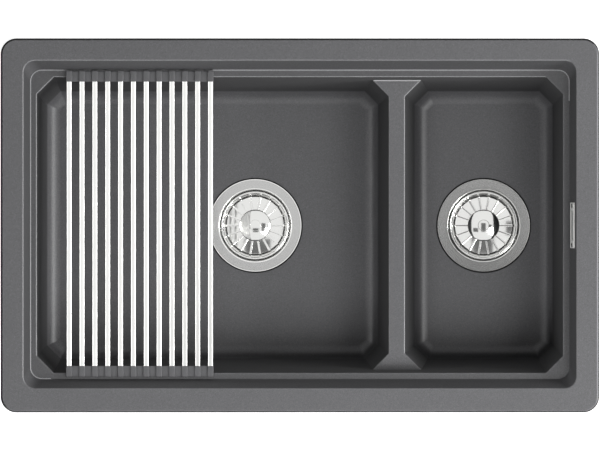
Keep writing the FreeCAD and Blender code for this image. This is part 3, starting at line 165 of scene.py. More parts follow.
def painted_outer_shade(tree, along, normal, facing):
    """One on the rounded outer edge of the rim, painted near black as painted shade. On the sides that face
    the front and the right, towards the lamps, the painted shade starts further out on the rounding."""
    rim_top = {"X": 345 * MM, "Y": 211 * MM}
    lit_side_tilt, flat_from = 0.17, 0.97
    sides = []
    for axis, reach in rim_top.items():
        away = add(tree, "ShaderNodeMath", {0: along.outputs[axis]}, operation="ABSOLUTE")
        sides.append(add(tree, "ShaderNodeMath", {0: away, 1: reach}, operation="GREATER_THAN"))
    outer = add(tree, "ShaderNodeMath", {0: sides[0], 1: sides[1]}, operation="MAXIMUM")
    # sides facing the lamps keep less of the painted shade
    lit_side = add(tree, "ShaderNodeMath", {0: facing, 1: 0.0}, operation="GREATER_THAN")
    tilt = add(
        tree,
        "ShaderNodeMath",
        {0: lit_side, 1: lit_side_tilt, 2: normal.outputs["Z"]},
        operation="MULTIPLY_ADD",
    )
    rounded = add(tree, "ShaderNodeMath", {0: tilt, 1: flat_from}, operation="LESS_THAN")
    return add(tree, "ShaderNodeMath", {0: outer, 1: rounded}, operation="MULTIPLY")


def painted_edge_highlights(tree, along, normal, facing):
    """How strongly an edge gets a painted highlight: the lips that face the front and the right, towards the
    lamps, and the feet of the walls at the left and the back. Nothing deep in the bowls."""
    edge_width, deepest = 2.0 * MM, -60 * MM
    left_of, behind = -300 * MM, 150 * MM
    lip_tilt, foot_tilt = 0.1, 0.8
    highlighted = add(
        tree,
        "ShaderNodeMapRange",
        {"Value": facing, "From Min": 0.05, "From Max": 0.35, "To Min": 0.15, "To Max": 1.0},
    )
    at_left = add(tree, "ShaderNodeMath", {0: along.outputs["X"], 1: left_of}, operation="LESS_THAN")
    at_back = add(tree, "ShaderNodeMath", {0: along.outputs["Y"], 1: behind}, operation="GREATER_THAN")
    lit_feet = add(tree, "ShaderNodeMath", {0: at_left, 1: at_back}, operation="MAXIMUM")
    highlights = []
    for inside, least_tilt, share in ((True, lip_tilt, highlighted), (False, foot_tilt, lit_feet)):
        near = add(
            tree,
            "ShaderNodeAmbientOcclusion",
            {"Distance": edge_width},
            inside=inside,
            only_local=True,
            samples=8,
        )
        line = add(
            tree,
            "ShaderNodeMapRange",
            {"Value": near.outputs["AO"], "From Min": 0.95, "From Max": 0.7, "To Min": 0.0, "To Max": 0.95},
        )
        level = add(
            tree, "ShaderNodeMath", {0: normal.outputs["Z"], 1: least_tilt}, operation="GREATER_THAN"
        )
        flat = add(tree, "ShaderNodeMath", {0: line, 1: level}, operation="MULTIPLY")
        highlights.append(add(tree, "ShaderNodeMath", {0: flat, 1: share}, operation="MULTIPLY"))
    either = add(tree, "ShaderNodeMath", {0: highlights[0], 1: highlights[1]}, operation="MAXIMUM")
    above = add(tree, "ShaderNodeMath", {0: along.outputs["Z"], 1: deepest}, operation="GREATER_THAN")
    return add(tree, "ShaderNodeMath", {0: either, 1: above}, operation="MULTIPLY")


def cast_composite():
    """Cast quartz composite: fine grain under a satin finish, rougher on the steep walls and darkened there
    by painted shade, with a painted highlight on edges and painted shade on the rounded outer edge."""
    pore, pore_depth = 0.4 * MM, 0.015 * MM
    # the grey that darkens the steep walls: painted shade
    painted_wall_shade = (0.42, 0.42, 0.42, 1.0)
    material, tree, shader = start_material("cast_quartz_composite", "#5c5c5e", 0.42)
    spot = add(tree, "ShaderNodeTexCoord")
    place = spot.outputs["Object"]
    along = add(tree, "ShaderNodeSeparateXYZ", {0: place})
    normal = add(tree, "ShaderNodeSeparateXYZ", {0: spot.outputs["Normal"]})
    # how far a face looks to the front and the right, towards the lamps
    facing = add(
        tree, "ShaderNodeMath", {0: normal.outputs["X"], 1: normal.outputs["Y"]}, operation="SUBTRACT"
    )
    grains = quartz_grains(tree, place, along.outputs["Z"])
    outer_shade = painted_outer_shade(tree, along, normal, facing)
    highlights = painted_edge_highlights(tree, along, normal, facing)
    steep = add(
        tree,
        "ShaderNodeMapRange",
        {"Value": normal.outputs["Z"], "From Min": 0.15, "From Max": 0.5, "To Min": 1.0, "To Max": 0.0},
    )
    # the pale colour on the edges is a painted highlight
    highlighted = add(tree, "ShaderNodeMix", {"Factor": highlights, 6: grains, 7: linear("#c4c4c6")}, data_type="RGBA")
    # near black on the rim's outer rounding: painted shade
    edged = add(tree, "ShaderNodeMix", {"Factor": outer_shade, 6: highlighted, 7: linear("#121213")}, data_type="RGBA")
    # steep walls darkened by painted shade
    colour = add(
        tree,
        "ShaderNodeMix",
        {"Factor": steep, 6: edged, 7: painted_wall_shade},
        data_type="RGBA",
        blend_type="MULTIPLY",
    )
    pores = add(tree, "ShaderNodeTexNoise", {"Vector": place, "Scale": 1 / pore, "Detail": 2.0})
    satin = add(tree, "ShaderNodeMapRange", {"Value": pores, "To Min": 0.36, "To Max": 0.48})
    dry = add(tree, "ShaderNodeMath", {0: steep, 1: outer_shade}, operation="MAXIMUM")
    finish = add(tree, "ShaderNodeMix", {"Factor": dry, 2: satin, 3: 1.0}, data_type="FLOAT")
    bump = add(tree, "ShaderNodeBump", {"Height": pores, "Distance": pore_depth, "Strength": 0.6})
    feed(tree, shader, {"Base Color": colour, "Roughness": finish, "Normal": bump})
    return material


dress(cast_composite(), "sink_body")


# ---------------------------------------------------------------- clip inserts
# Small turned brass inserts cast into the sides of the sink, which take the screws of the fixing clips under
# the worktop. Their knurled outside sits in the composite, so only a bright ring with a threaded hole shows.
def turned_metal(name, colour, roughness, centre=(0.0, 0.0), groove=0.3 * MM, depth=0.004 * MM):
    """Metal off a lathe: fine rings round an upright axis catch the light as a soft fan. Returns the material
    with its tree and shader."""
    material, tree, shader = start_material(name, colour, roughness, 1.0)
    place = add(tree, "ShaderNodeTexCoord").outputs["Object"]
    centred = add(tree, "ShaderNodeMapping", {"Vector": place, "Location": (-centre[0], -centre[1], 0)})
    across = add(tree, "ShaderNodeVectorMath", {0: centred, 1: (1, 1, 0)}, operation="MULTIPLY")
    radius = add(tree, "ShaderNodeVectorMath", {0: across}, operation="LENGTH", name="radius")
    rings = add(
        tree, "ShaderNodeTexNoise", {"W": radius, "Scale": 1 / groove, "Detail": 2.0}, noise_dimensions="1D"
    )
    turned = {"Value": rings, "To Min": 0.75 * roughness, "To Max": 1.3 * roughness}
    finish = add(tree, "ShaderNodeMapRange", turned)
    bump = add(tree, "ShaderNodeBump", {"Height": rings, "Distance": depth, "Strength": 0.7})
    feed(tree, shader, {"Roughness": finish, "Normal": bump})
    return material, tree, shader


dress(turned_metal("turned_brass", "#c9a557", 0.3)[0], "clip_inserts")

# ---------------------------------------------------------------- strainer cups
# Deep drawn stainless cups, dropped through the bowl floors and clamped from below. The wide flange is
# brushed in rings and lies in a step of the floor, and a polished roll runs round the mouth.
drains = {}
for side in ("left", "right"):
    low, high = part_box(f"{side}_basket")
    drains[side] = ((low + high) / 2).xy


def drawn_cup_steel(side):
    """Drawn stainless: flange brushed in rings; edge, roll and cup polished and given a painted highlight."""
    roll_edge, flange_edge = 45.0 * MM, 55.2 * MM
    brushed, polished = "#bdbdbc", "#ededeb"
    material, tree, shader = turned_metal(
        f"brushed_and_rolled_steel_{side}", brushed, 0.2, drains[side], 0.6 * MM, 0.01 * MM
    )
    radius = tree.nodes["radius"]
    rim = add(tree, "ShaderNodeMath", {0: radius, 1: flange_edge}, operation="GREATER_THAN")
    inside = add(tree, "ShaderNodeMath", {0: radius, 1: roll_edge}, operation="LESS_THAN")
    bright = add(tree, "ShaderNodeMath", {0: rim, 1: inside}, operation="MAXIMUM")
    # the paler colour here is a painted highlight, besides the real polish and its lower roughness
    colour = add(
        tree, "ShaderNodeMix", {"Factor": bright, 6: linear(brushed), 7: linear(polished)}, data_type="RGBA"
    )
    grooved = shader.inputs["Roughness"].links[0].from_socket
    finish = add(tree, "ShaderNodeMix", {"Factor": bright, 2: grooved, 3: 0.12}, data_type="FLOAT")
    feed(tree, shader, {"Base Color": colour, "Roughness": finish})
    return material


for side in drains:
    dress(drawn_cup_steel(side), f"{side}_strainer_cup")


# ---------------------------------------------------------------- seals, waste bodies and clamp screws
# A soft ring seals each flange from above and each waste body from below. The bodies are injection moulded in
# black polypropylene, and a hollow screw of stainless steel pulls body and cup together.
def moulded(name, colour, roughness, grit, depth, **sockets):
    """A moulded skin: an even colour with the faint grit that the mould leaves, and a soft broken sheen."""
    material, tree, shader = start_material(name, colour, roughness, **sockets)
    place = add(tree, "ShaderNodeTexCoord").outputs["Object"]
    grains = add(tree, "ShaderNodeTexNoise", {"Vector": place, "Scale": 1 / grit, "Detail": 3.0})
    least, most = 0.85 * roughness, min(1.0, 1.2 * roughness)
    sheen = add(tree, "ShaderNodeMapRange", {"Value": grains, "To Min": least, "To Max": most})
    bump = add(tree, "ShaderNodeBump", {"Height": grains, "Distance": depth, "Strength": 0.6})
    feed(tree, shader, {"Roughness": sheen, "Normal": bump})
    return material


weak_gloss = {"Specular IOR Level": 0.25}
seal_rubber = moulded("moulded_nitrile_rubber", "#161617", 0.7, 0.5 * MM, 0.01 * MM, **weak_gloss)
black_plastic = moulded("black_polypropylene", "#29292b", 0.38, 0.7 * MM, 0.015 * MM)
white_plastic = moulded("white_polypropylene", "#dcdcd8", 0.34, 0.9 * MM, 0.01 * MM)
screw_steel = turned_metal("turned_stainless_steel", "#bcbcba", 0.22)[0]
for side in drains:
    dress(seal_rubber, f"{side}_flange_seal", f"{side}_body_seal")
    dress(black_plastic, f"{side}_waste_body")
    dress(screw_steel, f"{side}_clamp_screw")


# ---------------------------------------------------------------- strainer baskets
# Lift-out baskets pressed from thin polished stainless sheet: eighteen slots leave narrow bars that run over
# the bend and up the wall, and the rim is rolled over to sit on the cup. The knob is screwed on the middle.
def new_tree(name, **inputs):
    """An empty Geometry Nodes tree with the named inputs; returns it with its input node."""
    tree = bpy.data.node_groups.new(name, "GeometryNodeTree")
    tree.interface.new_socket("Geometry", in_out="INPUT", socket_type="NodeSocketGeometry")
    for title, kind in inputs.items():
        tree.interface.new_socket(title, in_out="INPUT", socket_type=f"NodeSocket{kind}")
    tree.interface.new_socket("Geometry", in_out="OUTPUT", socket_type="NodeSocketGeometry")
    return tree, tree.nodes.new("NodeGroupInput")


def end_tree(tree, shape, material):
    """Closes a tree: plain geometry in one material."""
    whole = add(tree, "GeometryNodeRealizeInstances", {"Geometry": shape})
    dressed = add(tree, "GeometryNodeSetMaterial", {"Geometry": whole, "Material": material})
    add(tree, "NodeGroupOutput", {"Geometry": dressed})


def keep(piece):
    """Turns an object with modifiers into the plain mesh that they make."""
    depsgraph = bpy.context.evaluated_depsgraph_get()
    mesh = bpy.data.meshes.new_from_object(piece.evaluated_get(depsgraph))
    piece.modifiers.clear()
    piece.data = mesh
    return piece


def smooth(piece, sharp=math.radians(35)):
    """Smooth shading, with a crease wherever the faces turn by more than the given angle."""
    piece.data.shade_smooth()
    piece.data.set_sharp_from_angle(angle=sharp)
    return piece


def new_piece(name, data):
    """A new object in the scene."""
    piece = bpy.data.objects.new(name, data)
    bpy.context.scene.collection.objects.link(piece)
    return piece


def new_mesh(name, made):
    """The mesh of what bmesh made."""
    mesh = bpy.data.meshes.new(name)
    made.to_mesh(mesh)
    made.free()
    return mesh


def grow(name, mesh, tree, **sizes):
    """Runs a tree on a mesh and keeps the result as a plain mesh."""
    piece = new_piece(name, mesh)
    modifier = piece.modifiers.new("grow", "NODES")
    modifier.node_group = tree
    for item in tree.interface.items_tree:
        if item.in_out == "INPUT" and item.name in sizes:
            modifier[item.identifier] = sizes[item.name]
    return keep(piece)


def turned_copies():
    """Copies of one sector, turned about the upright axis until they close the ring, and merged."""
    tree, given = new_tree("turned_copies", Count="Int", Centre="Vector", Material="Material")
    count = given.outputs["Count"]
    points = add(tree, "GeometryNodePoints", {"Count": count, "Position": given.outputs["Centre"]})
    step = add(tree, "ShaderNodeMath", {0: math.tau, 1: count}, operation="DIVIDE")
    number = add(tree, "GeometryNodeInputIndex")
    angle = add(tree, "ShaderNodeMath", {0: number, 1: step}, operation="MULTIPLY")
    turn = add(tree, "ShaderNodeCombineXYZ", {"Z": angle})
    copies = add(
        tree,
        "GeometryNodeInstanceOnPoints",
        {"Points": points, "Instance": given.outputs["Geometry"], "Rotation": turn},
    )
    plain = add(tree, "GeometryNodeRealizeInstances", {"Geometry": copies})
    ring = add(tree, "GeometryNodeMergeByDistance", {"Geometry": plain, "Distance": 0.01 * MM})
    end_tree(tree, ring, given.outputs["Material"])
    return tree


def basket_rows():
    """The basket's upper skin from its middle to its rolled rim, as radii and heights in mm: flat floor,
    bend, leaning wall and rim."""
    middle_hole, rim_top, rim_edge = 3.1, -3.0, 41.4
    rows = [(radius, basket_floor) for radius in (middle_hole, 9.0, 14.0, 17.0)]
    rows += [(slot_start + step, basket_floor) for step in (0.0, 0.2, 0.6, 1.1, 1.7, 4.0, 8.0, 12.0, 16.4)]
    for step in range(1, bend_steps + 1):
        turn = wall_lean * step / bend_steps
        rows.append((bend_start + bend * math.sin(turn), basket_floor + bend * (1 - math.cos(turn))))
    rows += [(slot_end, -14.4), (36.9, -12.0), (37.4, -9.5), (37.9, -7.0), (38.45, -4.5), (38.62, -3.7)]
    rows += [(38.85, -3.25), (39.2, -3.02), (39.5, -3.05), (39.75, -3.14), (40.0, -3.05), (40.3, rim_top)]
    rows += [(40.9, rim_top), (41.2, -3.12), (41.36, -3.35), (rim_edge, -3.7), (rim_edge, -4.8)]
    return rows


def basket_sector(count):
    """One sector of the basket's upper skin: half a slot, a crowned bar, half a slot."""
    corner, crown, crown_shoulder = 1.6, 0.12, 0.75
    crowned_from, crowned_to = 16, 39
    sector = math.pi / count
    made = bmesh.new()
    grid = []
    for radius, height in basket_rows():
        near = min(radius - slot_start, slot_end - radius)
        round_off = corner - math.sqrt(corner**2 - (corner - near) ** 2) if 0 <= near < corner else 0.0
        half = math.asin((bar_width / 2 + round_off) / max(radius, 2 * bar_width))
        middle = (half + sector) / 2
        lift = crown if crowned_from < radius < crowned_to else 0.0
        left_half = [(-sector, 0), (-middle, 0), (-half, 0), (-half / 2, crown_shoulder)]
        right_half = [(-angle, share) for angle, share in reversed(left_half)]
        line = []
        for angle, share in [*left_half, (0, 1), *right_half]:
            point = (radius * math.cos(angle), radius * math.sin(angle), height + lift * share)
            line.append(made.verts.new([value * MM for value in point]))
        grid.append((radius, line))
    in_slot = (0, 1, 6, 7)
    for (inner, low), (outer, high) in zip(grid, grid[1:]):
        cut = inner >= slot_start and outer <= slot_end
        for place in range(8):
            if not (cut and place in in_slot):
                made.faces.new((low[place], high[place], high[place + 1], low[place + 1]))
    loose = [vertex for vertex in made.verts if not vertex.link_faces]
    bmesh.ops.delete(made, geom=loose, context="VERTS")
    return new_mesh("basket_sector", made)


def polished_steel(name, roughness, scratch, depth):
    """Polished stainless sheet: near a mirror, with the hair-fine marks that wiping leaves."""
    wiped_along, stretch = 0.6, 12
    material, tree, shader = start_material(name, "#e6e6e4", roughness, 1.0)
    place = add(tree, "ShaderNodeTexCoord").outputs["Object"]
    wiped = add(
        tree,
        "ShaderNodeMapping",
        {"Vector": place, "Rotation": (0, 0, wiped_along), "Scale": (1, stretch, 1)},
    )
    marks = add(tree, "ShaderNodeTexNoise", {"Vector": wiped, "Scale": 1 / scratch, "Detail": 3.0})
    bands = {"Value": marks, "To Min": 0.6 * roughness, "To Max": 1.6 * roughness}
    finish = add(tree, "ShaderNodeMapRange", bands)
    bump = add(tree, "ShaderNodeBump", {"Height": marks, "Distance": depth, "Strength": 0.5})
    feed(tree, shader, {"Roughness": finish, "Normal": bump})
    return material


# Radii and heights in mm. Heights count from the bowl's floor, and the basket's rim stays a little under it.
slot_count, slot_start, slot_end, bar_width = 18, 17.8, 36.4, 2.6
basket_floor, bend_start, bend, bend_steps, wall_lean = -16.5, 34.2, 2.2, 8, math.radians(75)
rim_drop = 3.0 * MM
bowl_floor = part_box("left_basket")[1].z + rim_drop
sheet = 0.9 * MM
basket_tree = turned_copies()
basket_skin = basket_sector(slot_count)
mirror_steel = polished_steel("polished_stainless_sheet", 0.12, 6 * MM, 0.003 * MM)
for side, centre in drains.items():
    basket = grow(
        f"{side}_basket_pressing",
        basket_skin,
        basket_tree,
        Count=slot_count,
        Centre=(*centre, bowl_floor),
        Material=mirror_steel,
    )
    wall = basket.modifiers.new("sheet", "SOLIDIFY")
    wall.thickness = sheet
    wall.offset = -1
    cut_edge = basket.modifiers.new("cut_edge", "BEVEL")
    cut_edge.width = 0.15 * MM
    cut_edge.segments = 2
    cut_edge.angle_limit = math.radians(50)
    smooth(keep(basket))
    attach(basket, f"{side}_strainer")
    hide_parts(f"{side}_basket")


# ---------------------------------------------------------------- knobs, stems and stoppers
# The knob is a turned and polished dome of stainless steel, left plain but for one ring groove. Its stem
# carries a rubber stopper with a steel plate on it under the basket, and drops into the hollow screw.
def lathe(name, outline, centre, segments=96):
    """A closed turned body from a half outline of (radius, height) in mm, from its top to its bottom."""
    made = bmesh.new()
    rings = []
    turns = [math.tau * number / segments for number in range(segments)]
    for radius, height in outline:
        if radius == 0:
            rings.append([made.verts.new((0, 0, height * MM))])
            continue
        reach = radius * MM
        spots = [(reach * math.cos(turn), reach * math.sin(turn), height * MM) for turn in turns]
        rings.append([made.verts.new(spot) for spot in spots])
    pairs = list(zip(rings, rings[1:]))
    if outline[0][0] > 0:
        pairs.append((rings[-1], rings[0]))
    for upper, lower in pairs:
        for number in range(segments):
            following = (number + 1) % segments
            corners = [upper[number % len(upper)], lower[number % len(lower)]]
            corners += [lower[following % len(lower)], upper[following % len(upper)]]
            made.faces.new(list(dict.fromkeys(corners)))
    bmesh.ops.recalc_face_normals(made, faces=made.faces)
    mesh = new_mesh(name, made)
    mesh.transform(Matrix.Translation((*centre, bowl_floor)))
    return smooth(new_piece(name, mesh))


def knob_outline():
    """Dome, ring groove, rounded edge, hollow underside and neck. Radii and heights in mm."""
    edge, dome_base, rise = 19.2, 5.8, 3.4
    groove, groove_wide, groove_deep, groove_lip = 6.6, 0.5, 0.25, 0.05
    ball = (edge**2 + rise**2) / (2 * rise)

    def dome(radius):
        return basket_floor + (dome_base + rise) - ball + math.sqrt(ball**2 - radius**2)

    groove_bottom = dome(groove) - groove_deep
    inner_lip, outer_lip = groove - groove_wide / 2 - groove_lip, groove + groove_wide / 2 + groove_lip
    points = [(0, dome(0))]
    points += [(radius, dome(radius)) for radius in (1.5, 3.0, 4.5, 5.6, 6.2, inner_lip)]
    points += [(groove - groove_wide / 4, groove_bottom), (groove + groove_wide / 4, groove_bottom)]
    points += [(radius, dome(radius)) for radius in (outer_lip, 7.2, 8.5, 10, 12, 14, 16, 17.4)]
    under = [(18.2, 6.1), (18.7, 5.92), (19.05, 5.65), (edge, 5.3), (19.15, 5.0), (18.95, 4.75), (18.6, 4.62)]
    under += [(16, 4.6), (10, 4.6), (8.6, 4.5), (8.15, 4.2), (8.0, 3.7), (8.0, 0.9), (8.2, 0.4), (8.6, 0.02)]
    under += [(0, 0.02)]
    return points + [(radius, basket_floor + height) for radius, height in under]


stopper_plate = [(6.2, -17.75), (20.0, -18.6), (34.0, -19.45), (34.6, -19.55), (34.8, -19.8), (6.2, -19.8)]
knob_steel = polished_steel("polished_turned_steel", 0.08, 9 * MM, 0.002 * MM)
for side, centre in drains.items():
    knob = lathe(f"{side}_knob_turned", knob_outline(), centre)
    knob.data.materials.append(knob_steel)
    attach(knob, f"{side}_strainer")
    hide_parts(f"{side}_knob")
    plate = lathe(f"{side}_stopper_plate", stopper_plate, centre)
    plate.data.materials.append(knob_steel)
    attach(plate, f"{side}_strainer")
    dress(screw_steel, f"{side}_stem", f"{side}_stem_nut")
    dress(seal_rubber, f"{side}_stopper")

# ---------------------------------------------------------------- overflow
# A slotted stainless cover, blasted matt, on the right wall of the recess leads to a moulded head behind it.
# A gasket seals the head, two screws hold it, and a rigid pipe takes the water down to the right waste.
cover_steel = polished_steel("blasted_cover_steel", 0.6, 2 * MM, 0.01 * MM)
dress(cover_steel, "overflow_cover")
dress(screw_steel, "overflow_screws")
dress(seal_rubber, "overflow_seal")
dress(black_plastic, "overflow_head", "overflow_nuts")
dress(white_plastic, "overflow_pipe")

# ---------------------------------------------------------------- waste pipes
# Rigid moulded pipes: an elbow under the left waste, a link pipe, and a tee under the right waste for the
# trap. Ribbed nuts pull them together by hand on rubber washers.
dress(white_plastic, "waste_elbow", "outlet_tee", "link_pipe")
dress(white_plastic, "outlet_nuts", "link_nuts")
dress(seal_rubber, "outlet_washers", "link_washers")


# ---------------------------------------------------------------- roll-up drying rack
# Twelve square stainless tubes rest on the ledge. Each end is pushed into a closed silicone sleeve, and a
# flat silicone link with a thin web at its far side joins it to the next, so that the mat rolls up.
def square_tube():
    """A square tube with rounded corners along Y."""
    sizes = {"Width": "Float", "Corner": "Float", "Length": "Float"}
    tree, given = new_tree("square_tube", **sizes, Centre="Vector", Material="Material")
    ends = []
    for half in (-0.5, 0.5):
        reach = add(tree, "ShaderNodeMath", {0: given.outputs["Length"], 1: half}, operation="MULTIPLY")
        ends.append(add(tree, "ShaderNodeCombineXYZ", {"Y": reach}))
    axis = add(tree, "GeometryNodeCurvePrimitiveLine", {"Start": ends[0], "End": ends[1]})
    square = add(
        tree,
        "GeometryNodeCurvePrimitiveQuadrilateral",
        {"Width": given.outputs["Width"], "Height": given.outputs["Width"]},
    )
    rounded = add(
        tree,
        "GeometryNodeFilletCurve",
        {"Curve": square, "Count": 5, "Radius": given.outputs["Corner"]},
        mode="POLY",
    )
    tube = add(tree, "GeometryNodeCurveToMesh", {"Curve": axis, "Profile Curve": rounded, "Fill Caps": True})
    placed = add(tree, "GeometryNodeTransform", {"Geometry": tube, "Translation": given.outputs["Centre"]})
    end_tree(tree, placed, given.outputs["Material"])
    return tree


def both_ends():
    """A shape at the front end of the rack and its mirror image at the back end."""
    tree, given = new_tree("both_ends", Reach="Float", Centre="Vector", Material="Material")
    shape = given.outputs["Geometry"]
    there = add(tree, "ShaderNodeCombineXYZ", {"Y": given.outputs["Reach"]})
    here = add(tree, "ShaderNodeVectorMath", {0: there, "Scale": -1.0}, operation="SCALE")
    front = add(tree, "GeometryNodeTransform", {"Geometry": shape, "Translation": here})
    mirrored = add(
        tree, "GeometryNodeTransform", {"Geometry": shape, "Translation": there, "Scale": (1, -1, 1)}
    )
    back = add(tree, "GeometryNodeFlipFaces", {"Mesh": mirrored})
    both = add(tree, "GeometryNodeJoinGeometry")
    for end in (front, back):
        feed(tree, both, {"Geometry": end})
    placed = add(tree, "GeometryNodeTransform", {"Geometry": both, "Translation": given.outputs["Centre"]})
    end_tree(tree, placed, given.outputs["Material"])
    return tree


def rounded_square(made, depth, half, corner):
    """A ring of vertices on a square with round corners, across the Y axis. Sizes in mm."""
    ring = []
    reach = half - corner
    for quarter in range(4):
        centre = (reach if quarter in (0, 3) else -reach, reach if quarter in (0, 1) else -reach)
        for step in range(5):
            angle = math.tau * (quarter + step / 4) / 4
            spot = (centre[0] + corner * math.cos(angle), depth, centre[1] + corner * math.sin(angle))
            ring.append(made.verts.new([value * MM for value in spot]))
    return ring


def bridge(made, rings):
    """Joins each ring of vertices to the next one with faces."""
    for near, far in zip(rings, rings[1:]):
        for number in range(len(near)):
            following = (number + 1) % len(near)
            made.faces.new((near[number], near[following], far[following], far[number]))


def sleeve_with_link(linked):
    """A silicone sleeve with its closed end at zero and its mouth towards +Y, and the link that leaves its
    side. Sizes in mm: each ring of the sleeve has its depth, half its width and its corner."""
    outline = [(0.0, 2.4, 0.7), (0.08, 3.0, 0.8), (0.3, 3.42, 0.9), (0.7, 3.64, 0.9), (1.2, 3.7, 0.9)]
    outline += [(12.6, 3.7, 0.9), (12.95, 3.66, 0.9), (13.13, 3.52, 0.9), (13.2, 3.3, 0.9)]
    outline += [(13.2, 3.0, 0.9), (13.1, 2.92, 0.9), (12.8, 2.9, 0.9), (1.45, 2.9, 0.9)]
    link_start, link_end, link_middle, link_wide, link_thick, link_edge = 3.3, 11.375, 7.0, 12.4, 3.0, 0.35
    made = bmesh.new()
    rings = [rounded_square(made, *row) for row in outline]
    made.faces.new(rings[0])
    made.faces.new(list(reversed(rings[-1])))
    bridge(made, rings)
    if linked:
        size = (link_end - link_start, link_wide, link_thick)
        place = ((link_start + link_end) / 2, link_middle, 0)
        plate = bmesh.ops.create_cube(made, size=1.0)["verts"]
        bmesh.ops.scale(made, verts=plate, vec=[value * MM for value in size])
        bmesh.ops.translate(made, verts=plate, vec=[value * MM for value in place])
        edges = list({edge for vertex in plate for edge in vertex.link_edges})
        bmesh.ops.bevel(made, geom=edges, offset=link_edge * MM, segments=3, profile=0.5, affect="EDGES")
    bmesh.ops.recalc_face_normals(made, faces=made.faces)
    return new_mesh("sleeve", made)


def hinge_web():
    """The thin web across the hinge line, from the link's end into the next sleeve, thinnest on that line."""
    half_span, steps, near_end, far_end, top = 0.6, 6, 1.0, 13.0, -0.03
    thin, thicker_by = 0.45, 0.5
    made = bmesh.new()
    rows = []
    for step in range(steps + 1):
        across = -half_span + 2 * half_span * step / steps
        thick = thin + thicker_by * abs(across) / half_span
        corners = ((near_end, -thick), (far_end, -thick), (far_end, top), (near_end, top))
        rows.append([made.verts.new((across * MM, depth * MM, height * MM)) for depth, height in corners])
    bridge(made, rows)
    made.faces.new(rows[0])
    made.faces.new(rows[-1])
    bmesh.ops.recalc_face_normals(made, faces=made.faces)
    return new_mesh("hinge_web", made)


def drawn_tube_steel():
    """Drawn stainless tube, brushed lengthwise: long faint lines, drawn wider than the real grit marks."""
    line, line_depth, stretch = 0.35 * MM, 0.01 * MM, 0.01
    material, tree, shader = start_material("brushed_stainless_tube", "#e3e3e1", 0.3, 1.0)
    place = add(tree, "ShaderNodeTexCoord").outputs["Object"]
    drawn = add(tree, "ShaderNodeMapping", {"Vector": place, "Scale": (1, stretch, 1)})
    lines = add(tree, "ShaderNodeTexNoise", {"Vector": drawn, "Scale": 1 / line, "Detail": 2.0})
    finish = add(tree, "ShaderNodeMapRange", {"Value": lines, "To Min": 0.22, "To Max": 0.4})
    bump = add(tree, "ShaderNodeBump", {"Height": lines, "Distance": line_depth, "Strength": 0.6})
    feed(tree, shader, {"Roughness": finish, "Normal": bump})
    return material


rod_count = 12
rod_corner = 0.9 * MM
rod_low, rod_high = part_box("rack_rod_01")
sleeve_low, sleeve_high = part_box("rack_sleeves_01")
first_rod = (rod_low + rod_high) / 2
rod_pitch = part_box("rack_rod_02")[0].x - rod_low.x
rod_length = rod_high.y - rod_low.y - 0.1 * MM
rack_length = sleeve_high.y - sleeve_low.y
first_hinge = Vector(next(joint["pos_m"] for joint in frame["joints"] if joint["name"] == "rack_roll_01"))
first_hinge.y = first_rod.y

rod_tree = square_tube()
end_pair = both_ends()
rod_steel = drawn_tube_steel()
silicone = moulded("matt_silicone", "#565658", 0.6, 0.6 * MM, 0.02 * MM)
for number in range(1, rod_count + 1):
    centre = first_rod + Vector((rod_pitch * (number - 1), 0, 0))
    rod = grow(
        f"rack_tube_{number:02d}",
        bpy.data.meshes.new("tube"),
        rod_tree,
        Width=rod_high.x - rod_low.x,
        Corner=rod_corner,
        Length=rod_length,
        Centre=centre,
        Material=rod_steel,
    )
    smooth(rod)
    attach(rod, f"rack_{number:02d}")
    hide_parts(f"rack_rod_{number:02d}")
    ends = grow(
        f"rack_caps_{number:02d}",
        sleeve_with_link(number < rod_count),
        end_pair,
        Reach=rack_length / 2,
        Centre=centre,
        Material=silicone,
    )
    smooth(ends, math.radians(50))
    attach(ends, f"rack_{number:02d}")
    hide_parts(f"rack_sleeves_{number:02d}")

for number in range(1, rod_count):
    hinge = first_hinge + Vector((rod_pitch * (number - 1), 0, 0))
    web = grow(
        f"rack_web_{number:02d}",
        hinge_web(),
        end_pair,
        Reach=rack_length / 2,
        Centre=hinge,
        Material=silicone,
    )
    smooth(web)
    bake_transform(web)


# ---------------------------------------------------------------- floor, light and background
# A white paper floor under the sink, soft square lamps, and white all round. The main and the key lamp stand
# to the right and in front, as the shades of the photograph's walls say. Two lamps only show in gloss, and
# two stand lower than the rim and light the outside.
def seen_directly(tree):
    """One for rays from the camera, and for those that a mirror or glass sends on; nought for the rest."""
    rays = add(tree, "ShaderNodeLightPath")
    shiny, clear = rays.outputs["Is Glossy Ray"], rays.outputs["Is Transmission Ray"]
    sent_on = add(tree, "ShaderNodeMath", {0: shiny, 1: clear}, operation="MAXIMUM")
    return add(tree, "ShaderNodeMath", {0: rays.outputs["Is Camera Ray"], 1: sent_on}, operation="MAXIMUM")


def white_paper():
    """Matt white paper: it keeps the shadow of the sink, and is bright enough to the eye to read as white."""
    brightness = 0.86
    material, tree, shader = start_material("white_paper", "#e7e7e7", 0.9)
    glow = add(tree, "ShaderNodeMath", {0: seen_directly(tree), 1: brightness}, operation="MULTIPLY")
    feed(tree, shader, {"Emission Color": (1, 1, 1, 1), "Emission Strength": glow})
    return material


def flat_sheet(name, left, right, front, back, height, material):
    """A level sheet of studio gear between its left, right, front and back edge."""
    mesh = bpy.data.meshes.new(name)
    corners = [(left, front, height), (right, front, height), (right, back, height), (left, back, height)]
    mesh.from_pydata(corners, [], [(0, 1, 2, 3)])
    mesh.materials.append(material)
    return new_piece(name, mesh)


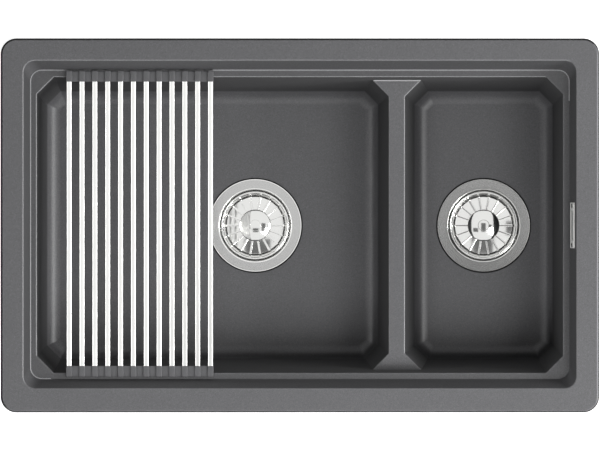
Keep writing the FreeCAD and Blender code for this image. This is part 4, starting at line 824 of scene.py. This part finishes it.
reach = 6.0
below = cad_low.z - 0.2 * MM
floor = flat_sheet("floor", -reach, reach, -reach, reach, below, white_paper())
floor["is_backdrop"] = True

fill_light = 0.02
world = bpy.data.worlds.new("studio")
bpy.context.scene.world = world
world.use_nodes = True
studio = world.node_tree
seen = seen_directly(studio)
strength = add(studio, "ShaderNodeMapRange", {"Value": seen, "To Min": fill_light, "To Max": 1.0})
feed(studio, studio.nodes["Background"], {"Color": (1, 1, 1, 1), "Strength": strength})


def lamp(name, place, aim, width, power, mirrored=True, lights=True):
    """A soft square lamp; mirrored says whether it shows in gloss, and lights whether it does more."""
    data = bpy.data.lights.new(name, "AREA")
    data.size = width
    data.energy = power
    light = new_piece(name, data)
    light.location = place
    light.rotation_mode = "QUATERNION"
    light.rotation_quaternion = (Vector(aim) - Vector(place)).to_track_quat("-Z", "Y")
    light.visible_camera = False
    light.visible_glossy = mirrored
    light.visible_diffuse = lights


lamp("overhead", (-0.1, -0.7, 1.3), (0, 0, 0), 0.5, 11, mirrored=False)
lamp("main", (1.5, -0.9, 3.0), (0, 0, -0.1), 1.0, 34)
lamp("key", (1.9, -0.2, 0.95), (0, 0, -0.1), 0.9, 32)
lamp("gleam", (1.5, -0.1, 1.5), (0, 0, -0.1), 0.5, 12, lights=False)
lamp("sheen", (-1.7, -0.1, 1.1), (0, 0, -0.1), 0.9, 14, lights=False)
lamp("back", (0.4, 2.2, -0.05), (0, 0, -0.15), 0.5, 24, mirrored=False)
lamp("side", (-2.2, 0.4, -0.05), (0, 0, -0.15), 0.5, 16, mirrored=False)

# Small grey cards over the wastes, as a studio hangs them, take the glare off the right flange and give the
# slots and the knobs something to show.
card_height = 0.5
card_grey, card_tree, card_shader = start_material("grey_card", "#202020", 0.9)
feed(card_tree, card_shader, {"Emission Color": linear("#6a6a6a"), "Emission Strength": 1.0})
for edges in ((-0.13, 0.05, -0.22, -0.09), (0.15, 0.295, -0.21, 0.075), (0.385, 0.5, -0.07, 0.03)):
    card = flat_sheet("grey_card", *edges, card_height, card_grey)
    card.visible_camera = False
    card.visible_diffuse = False
    card.visible_shadow = False
    card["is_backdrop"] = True

low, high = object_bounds()
